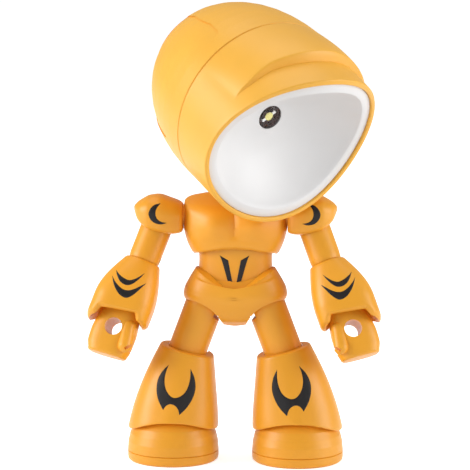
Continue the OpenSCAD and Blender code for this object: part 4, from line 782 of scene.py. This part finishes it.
def thumb():
    """Finger with round ends that runs down the inner front of the hand, a little proud of it."""
    root, tip = Vector((-3.7, -2.5, -20.4)), Vector((-5.0, -3.7, -26.2))
    root_r, tip_r = 1.9, 2.05
    way = (tip - root).to_track_quat("-Z", "X").to_matrix().to_4x4()
    length = (tip - root).length
    return turned([(0, root_r)] + [(root_r * cos(a), root_r * sin(a)) for a in range(81, -1, -9)]
                  + [(tip_r * cos(a), tip_r * sin(a) - length) for a in range(0, -82, -9)]
                  + [(0, -tip_r - length)], AT_HAND @ Matrix.Translation(root) @ way)


def hand():
    top = CUFF_ROOF + GAP
    # Distance below the elbow, shift across, width share, depth share
    stations = [[HAND_END - HAND_ROUND, 0.1, 0.88, 0.96], [HAND_END - 3, 0.3, 0.98, 1],
                [mix(top, HAND_END, 0.55), 0.4, 1, 1], [mix(top, HAND_END, 0.36), 0.4, 0.95, 0.98],
                [mix(top, HAND_END, 0.16), 0.3, 0.85, 0.93], [top + 0.6, 0.1, 0.77, 0.86],
                [top, 0.1, 0.68, 0.76]]
    rings = []
    for t in (90, 72, 54, 36, 18):
        k = HAND_ROUND * (1 - cos(t))
        down = HAND_END - HAND_ROUND * (1 - sin(t))
        rings.append(hand_ring(down, 0.1, HAND_A * 0.88 - k, HAND_B * 0.96 - k))
    rings += [hand_ring(t, c, HAND_A * a, HAND_B * b) for t, c, a, b in spline(stations, 7)]
    solid = loft(rings, AT_HAND)
    solid.plus(thumb(), snap_peg(WRIST_R, SNAP, 0.25, 0.7, -top - 1, 0, AT_HAND))
    nick = AT_HAND @ shift(-HAND_A, 0, -HAND_END + 3.9) @ turn("Y", 50)
    return solid.minus(rod_y(GRIP_R, 4 * HAND_B, AT_HAND @ shift(0, 0, -GRIP_AT)),
                       block(2.2, 3 * HAND_B, 0.7, nick))


# ---- legs ----

HEM_Z = ANKLE_H + 2.9
RIM_X, RIM_TOP = KNEE_X - RIM_ABOVE * sin(KNEE_TILT), KNEE_Z + RIM_ABOVE * cos(KNEE_TILT)
FOOT_ROOM = GAP + 0.35
FOOT_FULL, BOOT_POWER = 2.2, 2.25
BOOT_EDGE, BOOT_RIM_EDGE = 0.45, 0.55
DOME_FOOT = SOLE_H + 0.1


def boot_ring(f, w, sides=144):
    """Ring at share f of the way from hem to top, w inside the skin, with hem arch and front keel."""
    tilt = KNEE_TILT * f
    a = mix(BOOT_A, BOOT_TOP, f**1.35) - w
    b = mix(BOOT_B, BOOT_TOP, f**1.2) - w
    cx = mix(FOOT_X, RIM_X, f) + 0.4 * sin(180 * f)
    cz = mix(HEM_Z, RIM_TOP, f)
    arch = BOOT_ARCH * max(0, 1 - f / 0.6) ** 2
    ring = []
    for i in range(sides):
        t = 360 * i / sides
        x, y = super_point(a, b, BOOT_POWER, t)
        keel = BOOT_RIDGE * (1 - f * f) * math.exp(-((t - 270) / 11) ** 2)
        rise = (1 if y < 0 else 0.4) * arch * (abs(y) / b) ** 3
        ring.append((cx + x * cos(tilt), LEG_Y + y - keel, cz + x * sin(tilt) + rise))
    return ring


def dome_r(z, grow):
    """Radius of the foot's dome at height z, grown by a clearance."""
    h = FOOT_H - DOME_FOOT + grow
    return (FOOT_R + grow) * max(0, 1 - max(0, (z - DOME_FOOT) / h) ** FOOT_FULL) ** (1 / FOOT_FULL)


def under_ring(f, sides=144):
    """Ring of the hollow under the boot, from its hem up over the dome of the foot."""
    hem = boot_ring(0, 0.6, sides)
    ring = []
    for i in range(sides):
        z = mix(hem[i][2], FOOT_H + FOOT_ROOM, sin(90 * f))
        r = dome_r(z, FOOT_ROOM)
        ring.append((FOOT_X + r * cos(360 * i / sides), LEG_Y + r * sin(360 * i / sides), z))
    return ring


def boot():
    rings = [under_ring(f) for f in (0.97, 0.9, 0.8, 0.68, 0.55, 0.42, 0.3, 0.18, 0.05)]
    height = RIM_TOP - HEM_Z
    for t in (70, 45, 20):
        rings.append(boot_ring(BOOT_EDGE * (1 - sin(t)) / height, BOOT_EDGE * (1 - cos(t))))
    rings += [boot_ring(f, 0) for f in np.linspace(0.03, 0.965, 34)]
    for t in (20, 40, 60, 80, 90):
        rings.append(boot_ring(1 - BOOT_RIM_EDGE * (1 - sin(t)) / height, BOOT_RIM_EDGE * (1 - cos(t))))
    knee = FIGURE @ shift(KNEE_X, LEG_Y, KNEE_Z)
    ankle = FIGURE @ shift(FOOT_X, LEG_Y, ANKLE_H)
    hinge = knee @ turn("Y", -KNEE_TILT)
    leg = hinge @ turn("X", -KNEE_BEND) @ turn("Y", KNEE_TILT - THIGH_SPLAY)
    solid = loft(rings, FIGURE).minus(ball(THIGH_R + GAP, knee), rod(THIGH_R + GAP - 0.05, 0, 14, leg))
    solid.plus(tongue(THIGH_R + 2, hinge), tongue(FOOT_H - ANKLE_H + 2, ankle @ turn("X", 180)))
    return solid.minus(rod_x(PIN_R + FIT, 2 * TONGUE_T, hinge), rod_x(PIN_R + FIT, 2 * TONGUE_T, ankle))


# ---- materials ----


def node_material(name, slot, color, rough, spread=0.03, grain=2600, bump=0.02, bump_mm=0.05, **sockets):
    """Procedural material: broad colour variation, uneven gloss and a fine moulded grain."""
    mat = bpy.data.materials.new(name)
    mat.use_nodes = True
    nodes, links = mat.node_tree.nodes, mat.node_tree.links
    shader = nodes["Principled BSDF"]
    place = nodes.new("ShaderNodeTexCoord")

    def noise(scale, detail):
        node = nodes.new("ShaderNodeTexNoise")
        node.inputs["Scale"].default_value = scale
        node.inputs["Detail"].default_value = detail
        links.new(place.outputs["Object"], node.inputs["Vector"])
        return node.outputs["Fac"]

    ramp = nodes.new("ShaderNodeValToRGB")
    ramp.color_ramp.elements[0].position = 0.3
    ramp.color_ramp.elements[1].position = 0.7
    for element, share in zip(ramp.color_ramp.elements, (1 - spread, 1 + spread)):
        element.color = (*[min(1, c * share) for c in color], 1)
    links.new(noise(70, 3), ramp.inputs["Fac"])
    links.new(ramp.outputs["Color"], shader.inputs["Base Color"])
    gloss = nodes.new("ShaderNodeMapRange")
    gloss.inputs["To Min"].default_value = max(0.01, rough - 0.05)
    gloss.inputs["To Max"].default_value = rough + 0.05
    links.new(noise(450, 2), gloss.inputs["Value"])
    links.new(gloss.outputs["Result"], shader.inputs["Roughness"])
    relief = nodes.new("ShaderNodeBump")
    relief.inputs["Strength"].default_value = bump
    relief.inputs["Distance"].default_value = bump_mm * MM
    links.new(noise(grain, 2), relief.inputs["Height"])
    links.new(relief.outputs["Normal"], shader.inputs["Normal"])
    for socket, value in sockets.items():
        shader.inputs[socket.replace("_", " ")].default_value = value
    return mat


HEAD_PLASTIC = node_material("head_yellow", "head_plastic", (0.90, 0.46, 0.05), 0.42, bump=0.05)
BODY_PLASTIC = node_material("body_orange", "body_plastic", (0.89, 0.39, 0.022), 0.40, bump=0.04)
BOWL_WHITE = node_material("bowl_white", "reflector_white", (0.79, 0.785, 0.785), 0.38, spread=0.01)
INK = node_material("printed_black", "black_plastic", (0.014, 0.013, 0.014), 0.45, spread=0.2,
                    Specular_IOR_Level=0.3)
DARK = node_material("dark_moulding", "black_plastic", (0.03, 0.028, 0.026), 0.5, spread=0.15)
MASK = node_material("solder_mask", "black_plastic", (0.045, 0.016, 0.012), 0.14, spread=0.3, bump=0.01,
                     Specular_IOR_Level=0.15)
STEEL = node_material("plated_steel", "steel", (0.62, 0.63, 0.65), 0.28, grain=900, Metallic=1.0)
CELL = node_material("cell_cans", "cell_metal", (0.74, 0.75, 0.77), 0.22, grain=700, Metallic=1.0)
PADS = node_material("tinned_pads", "steel", (0.88, 0.88, 0.86), 0.3, grain=1800, bump=0.1)
PHOSPHOR = node_material("phosphor_gel", "phosphor", (0.88, 0.79, 0.27), 0.3, spread=0.08, grain=6000,
                         bump=0.2)
CLEAR = node_material("clear_cap", "clear_lens", (0.985, 0.985, 0.985), 0.02, spread=0.005, bump=0.002,
                      Transmission_Weight=1.0, IOR=1.2)

SIDES = {"left": 1, "right": -1}
PIN_JOINTS = ("shoulder", "elbow", "hip", "knee", "ankle")
CAD_MATERIALS = {
    HEAD_PLASTIC: ["head_rear_shell", "battery_door"],
    DARK: ["switch_unit", "switch_button", "ball_retainer", "neck_post", "left_hip_peg", "right_hip_peg"],
    MASK: ["light_board"],
    CELL: ["button_cells"],
    STEEL: ["board_screws", "door_screw", "cell_contact_plate", "cell_contact_leaf", "retainer_screws",
            "neck_screw", "chest_screws", "pelvis_screw"]
    + [f"{side}_{joint}_pin" for side in SIDES for joint in PIN_JOINTS],
    BODY_PLASTIC: [f"{side}_{part}" for side in SIDES for part in ("upper_arm", "thigh", "foot", "sole")],
    CLEAR: ["light_lens"],
}


def dress(mesh, material):
    mesh.materials.clear()
    mesh.materials.append(material)
    mesh.polygons.foreach_set("material_index", [0] * len(mesh.polygons))


for material, names in CAD_MATERIALS.items():
    for name in names:
        dress(NODES[name].data, material)


# ---- shells that stand for the faceted CAD nodes ----

front_shell().minus(neck_slot()).finish("helmet_front", "head", HEAD_PLASTIC, "head_front_shell")
dish = bowl()
dish.plus(rod(WINDOW_R + 1.3, BOWL_BOTTOM - 1.5, BOWL_BOTTOM - 0.4, HEAD))
dish.minus(rod(WINDOW_R, 0, BOWL_BOTTOM + 1, HEAD))
dish.finish("lamp_bowl", "head", BOWL_WHITE, "reflector")
chip_base, phosphor, pads, cup = light_chip()
chip_base.finish("chip_base", "head", MASK, "light_package")
phosphor.finish("phosphor_disc", "head", PHOSPHOR)
pads.finish("chip_pads", "head", PADS)
cup.finish("window_cup", "head", MASK)
chest_front, chest_back = chest_parts()
chest_front.finish("breastplate", "torso", BODY_PLASTIC, "chest_front")
chest_back.finish("backplate", "torso", BODY_PLASTIC, "chest_back")
waist = abdomen().finish("waist", "pelvis", BODY_PLASTIC, "abdomen")
pelvis_front, pelvis_back = pelvis_parts()
pelvis_front.finish("hips_front", "pelvis", BODY_PLASTIC, "pelvis_front")
pelvis_back.finish("hips_back", "pelvis", BODY_PLASTIC, "pelvis_back")
PAIRS = {}
for make, node, name, body in ((shoulder_pad, "shoulder_pad", "pauldron", "shoulder"),
                               (gauntlet, "gauntlet", "forearm_guard", "forearm"),
                               (hand, "hand", "fist", "hand"), (boot, "boot", "greave", "shin")):
    left = make()
    right = left.mirrored()
    for side, solid in zip(SIDES, (left, right)):
        PAIRS[side, node] = solid.finish(f"{side}_{name}", f"{side}_{body}", BODY_PLASTIC, f"{side}_{node}")


# ---- printed marks ----

def curve_through(points, steps=6):
    """Smooth open curve through the points, ends included."""
    p = [np.array(q, float) for q in points]
    if len(p) == 2:
        return [tuple(mix(p[0], p[1], k / 12)) for k in range(13)]
    p = [2 * p[0] - p[1]] + p + [2 * p[-1] - p[-2]]
    out = []
    for a, b, c, d in zip(p, p[1:], p[2:], p[3:]):
        for k in range(steps):
            f = k / steps
            out.append(tuple(0.5 * (2 * b + (c - a) * f + (2 * a - 5 * b + 4 * c - d) * f * f
                                    + (3 * b - a - 3 * c + d) * f**3)))
    out.append(tuple(p[-2]))
    return out


MARK_CELL = 0.55


def print_mark(name, body, target, curves, side=1, proud=0.025):
    """Thin black print: an outline in X and Z, in millimetres, laid on the front of the target piece."""
    outline = []
    for curve in curves:
        outline += curve_through(curve)[:-1]
    mark = bmesh.new()
    ring = [mark.verts.new((side * x, 0, z)) for x, z in outline]
    edges = [mark.edges.new((a, b)) for a, b in zip(ring, ring[1:] + ring[:1])]
    bmesh.ops.triangle_fill(mark, use_beauty=True, edges=edges)
    low = np.min(outline, axis=0)
    high = np.max(outline, axis=0)
    for k, normal in ((0, (1, 0, 0)), (1, (0, 0, 1))):
        for at in np.arange(low[k], high[k], MARK_CELL)[1:]:
            point = (side * at, 0, 0) if k == 0 else (0, 0, at)
            bmesh.ops.bisect_plane(mark, geom=mark.verts[:] + mark.edges[:] + mark.faces[:],
                                   plane_co=point, plane_no=normal)
    tree = BVHTree.FromObject(target, bpy.context.evaluated_depsgraph_get())
    for v in mark.verts:
        at, normal, _, _ = tree.ray_cast(Vector((v.co.x * MM, -0.2, v.co.z * MM)), Vector((0, 1, 0)))
        if at is None:
            raise RuntimeError(f"{name} misses its piece at {v.co}")
        v.co = at + normal * proud * MM
    for f in mark.faces:
        if f.normal.y > 0:
            f.normal_flip()
    bmesh.ops.recalc_face_normals(mark, faces=mark.faces)
    mesh = bpy.data.meshes.new(name)
    mark.to_mesh(mesh)
    mark.free()
    obj = bpy.data.objects.new(name, mesh)
    SCENE.collection.objects.link(obj)
    mesh.materials.append(INK)
    mesh.polygons.foreach_set("use_smooth", [True] * len(mesh.polygons))
    depth = obj.modifiers.new("depth", "SOLIDIFY")
    depth.thickness = 2 * proud * MM
    depth.offset = -1
    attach(obj, body)


# The marks of the left side: closed outlines of smooth curves that meet at corners
CRESCENT = [[(21.0, 74.8), (22.7, 74.4), (23.9, 73.3), (24.4, 71.9), (23.9, 70.4), (22.7, 69.3), (20.9, 68.9),
             (19.2, 69.3)],
            [(19.2, 69.3), (20.9, 69.7), (22.0, 70.6), (22.4, 71.9), (22.1, 73.4), (21.0, 74.8)]]
CHEVRON_UPPER = [[(33.3, 56.3), (32.9, 55.0), (32.0, 53.5), (30.6, 52.6), (29.2, 52.5), (27.7, 53.2),
                  (26.3, 54.3), (25.1, 55.5)],
                 [(25.1, 55.5), (26.7, 54.6), (28.1, 54.0), (29.6, 53.8), (31.2, 54.5), (32.4, 55.4),
                  (33.3, 56.3)]]
CHEVRON_LOWER = [[(34.3, 54.9), (33.9, 53.2), (33.1, 51.4), (31.9, 49.9), (30.4, 49.1), (29.1, 49.3),
                  (27.5, 50.3), (26.0, 51.6), (24.6, 52.8)],
                 [(24.6, 52.8), (26.1, 52.2), (27.7, 51.5), (29.3, 51.1), (30.8, 51.3), (32.2, 52.2),
                  (33.5, 53.6), (34.3, 54.9)]]
SLASH = [[(4.2, 60.0), (1.8, 58.6)], [(1.8, 58.6), (0.6, 52.3)], [(0.6, 52.3), (1.95, 52.7)],
         [(1.95, 52.7), (3.4, 57.9), (4.2, 60.0)]]
HORNS = [[(18.5, 29.0), (20.4, 27.0), (21.7, 24.5), (22.0, 21.7), (21.4, 19.0), (20.0, 16.4)],
         [(20.0, 16.4), (19.1, 17.6), (17.9, 18.1), (16.6, 17.7), (15.7, 16.6), (15.3, 15.1)],
         [(15.3, 15.1), (13.3, 17.0), (11.7, 19.5), (10.9, 22.3), (11.2, 25.3), (12.3, 27.9)],
         [(12.3, 27.9), (12.4, 25.2), (13.0, 22.8), (14.1, 21.0), (15.8, 20.0), (17.3, 20.0), (18.5, 20.9),
          (19.4, 22.5), (19.7, 24.7), (19.3, 27.0), (18.5, 29.0)]]
for side, k in SIDES.items():
    print_mark(f"{side}_crescent_print", f"{side}_shoulder", PAIRS[side, "shoulder_pad"], CRESCENT, k)
    print_mark(f"{side}_upper_chevron_print", f"{side}_forearm", PAIRS[side, "gauntlet"], CHEVRON_UPPER, k)
    print_mark(f"{side}_lower_chevron_print", f"{side}_forearm", PAIRS[side, "gauntlet"], CHEVRON_LOWER, k)
    print_mark(f"{side}_slash_print", "pelvis", waist, SLASH, k)
    print_mark(f"{side}_horned_print", f"{side}_shin", PAIRS[side, "boot"], HORNS, k)


# ---- studio ----

FLOOR_GLOW, WORLD_LEVEL = 0.72, 0.35


def studio_ground():
    """Pale floor that runs on to the horizon, a little brighter to the camera so that it reads as white."""
    mesh = bpy.data.meshes.new("studio_floor")
    size = 9
    mesh.from_pydata([(x * size, y * size, 0) for x, y in ((-1, -1), (1, -1), (1, 1), (-1, 1))], [],
                     [(0, 1, 2, 3)])
    floor = bpy.data.objects.new("studio_floor", mesh)
    SCENE.collection.objects.link(floor)
    mat = bpy.data.materials.new("pale_floor")
    mat.use_nodes = True
    nodes, links = mat.node_tree.nodes, mat.node_tree.links
    shader = nodes["Principled BSDF"]
    shader.inputs["Base Color"].default_value = (0.9, 0.9, 0.9, 1)
    shader.inputs["Roughness"].default_value = 0.9
    shader.inputs["Specular IOR Level"].default_value = 0.1
    glow = nodes.new("ShaderNodeEmission")
    glow.inputs["Color"].default_value = (1, 1, 1, 1)
    seen = nodes.new("ShaderNodeLightPath").outputs

    def maximum(one, other):
        node = nodes.new("ShaderNodeMath")
        node.operation = "MAXIMUM"
        links.new(one, node.inputs[0])
        links.new(other, node.inputs[1])
        return node.outputs[0]

    level = nodes.new("ShaderNodeMath")
    level.operation = "MULTIPLY"
    level.inputs[1].default_value = FLOOR_GLOW
    either = maximum(seen["Is Camera Ray"], seen["Is Glossy Ray"])
    links.new(maximum(either, seen["Is Transmission Ray"]), level.inputs[0])
    links.new(level.outputs[0], glow.inputs["Strength"])
    total = nodes.new("ShaderNodeAddShader")
    links.new(shader.outputs[0], total.inputs[0])
    links.new(glow.outputs[0], total.inputs[1])
    links.new(total.outputs[0], nodes["Material Output"].inputs["Surface"])
    mesh.materials.append(mat)


def area_light(name, where, size, power, target=(0, 0, 0.06)):
    data = bpy.data.lights.new(name, "AREA")
    data.shape = "RECTANGLE"
    data.size, data.size_y = size
    data.energy = power
    lamp = bpy.data.objects.new(name, data)
    SCENE.collection.objects.link(lamp)
    lamp.location = where
    lamp.rotation_euler = (Vector(target) - Vector(where)).to_track_quat("-Z", "Y").to_euler()


studio_ground()
world = bpy.data.worlds.new("studio")
SCENE.world = world
world.use_nodes = True
backdrop = world.node_tree.nodes["Background"]
backdrop.inputs["Color"].default_value = (1, 1, 1, 1)
paths = world.node_tree.nodes.new("ShaderNodeLightPath")
strength = world.node_tree.nodes.new("ShaderNodeMapRange")
strength.inputs["To Min"].default_value = WORLD_LEVEL
strength.inputs["To Max"].default_value = 1.0
world.node_tree.links.new(paths.outputs["Is Camera Ray"], strength.inputs["Value"])
world.node_tree.links.new(strength.outputs["Result"], backdrop.inputs["Strength"])
area_light("key", (-0.95, -0.28, 0.38), (0.6, 0.6), 8)
area_light("fill", (0.9, -0.2, 0.3), (0.6, 0.6), 5)
area_light("top", (0, 0.1, 1.0), (0.8, 0.8), 3.1)


# ---- camera ----

DISTANCE, SENSOR = 703.3, 36
LOOK_AZIMUTH, LOOK_ELEVATION = 3, 7.75
LOOK_AT = Vector((0, 7.5, 65.5))
# At the target, a picture of 470 pixels shows 0.285 mm in each
PICTURE, MM_PER_PIXEL = 470, 0.285
away = Vector((sin(LOOK_AZIMUTH) * cos(LOOK_ELEVATION), -cos(LOOK_AZIMUTH) * cos(LOOK_ELEVATION),
               sin(LOOK_ELEVATION)))
lens = bpy.data.cameras.new("camera")
lens.sensor_width = SENSOR
lens.sensor_fit = "HORIZONTAL"
lens.lens = SENSOR * DISTANCE / MM_PER_PIXEL / PICTURE
lens.clip_start, lens.clip_end = 0.05, 30
camera = bpy.data.objects.new("camera", lens)
SCENE.collection.objects.link(camera)
camera.location = (LOOK_AT + away * DISTANCE) * MM
camera.rotation_euler = (-away).to_track_quat("-Z", "Y").to_euler()
SCENE.camera = camera
SCENE.view_settings.view_transform = "Standard"
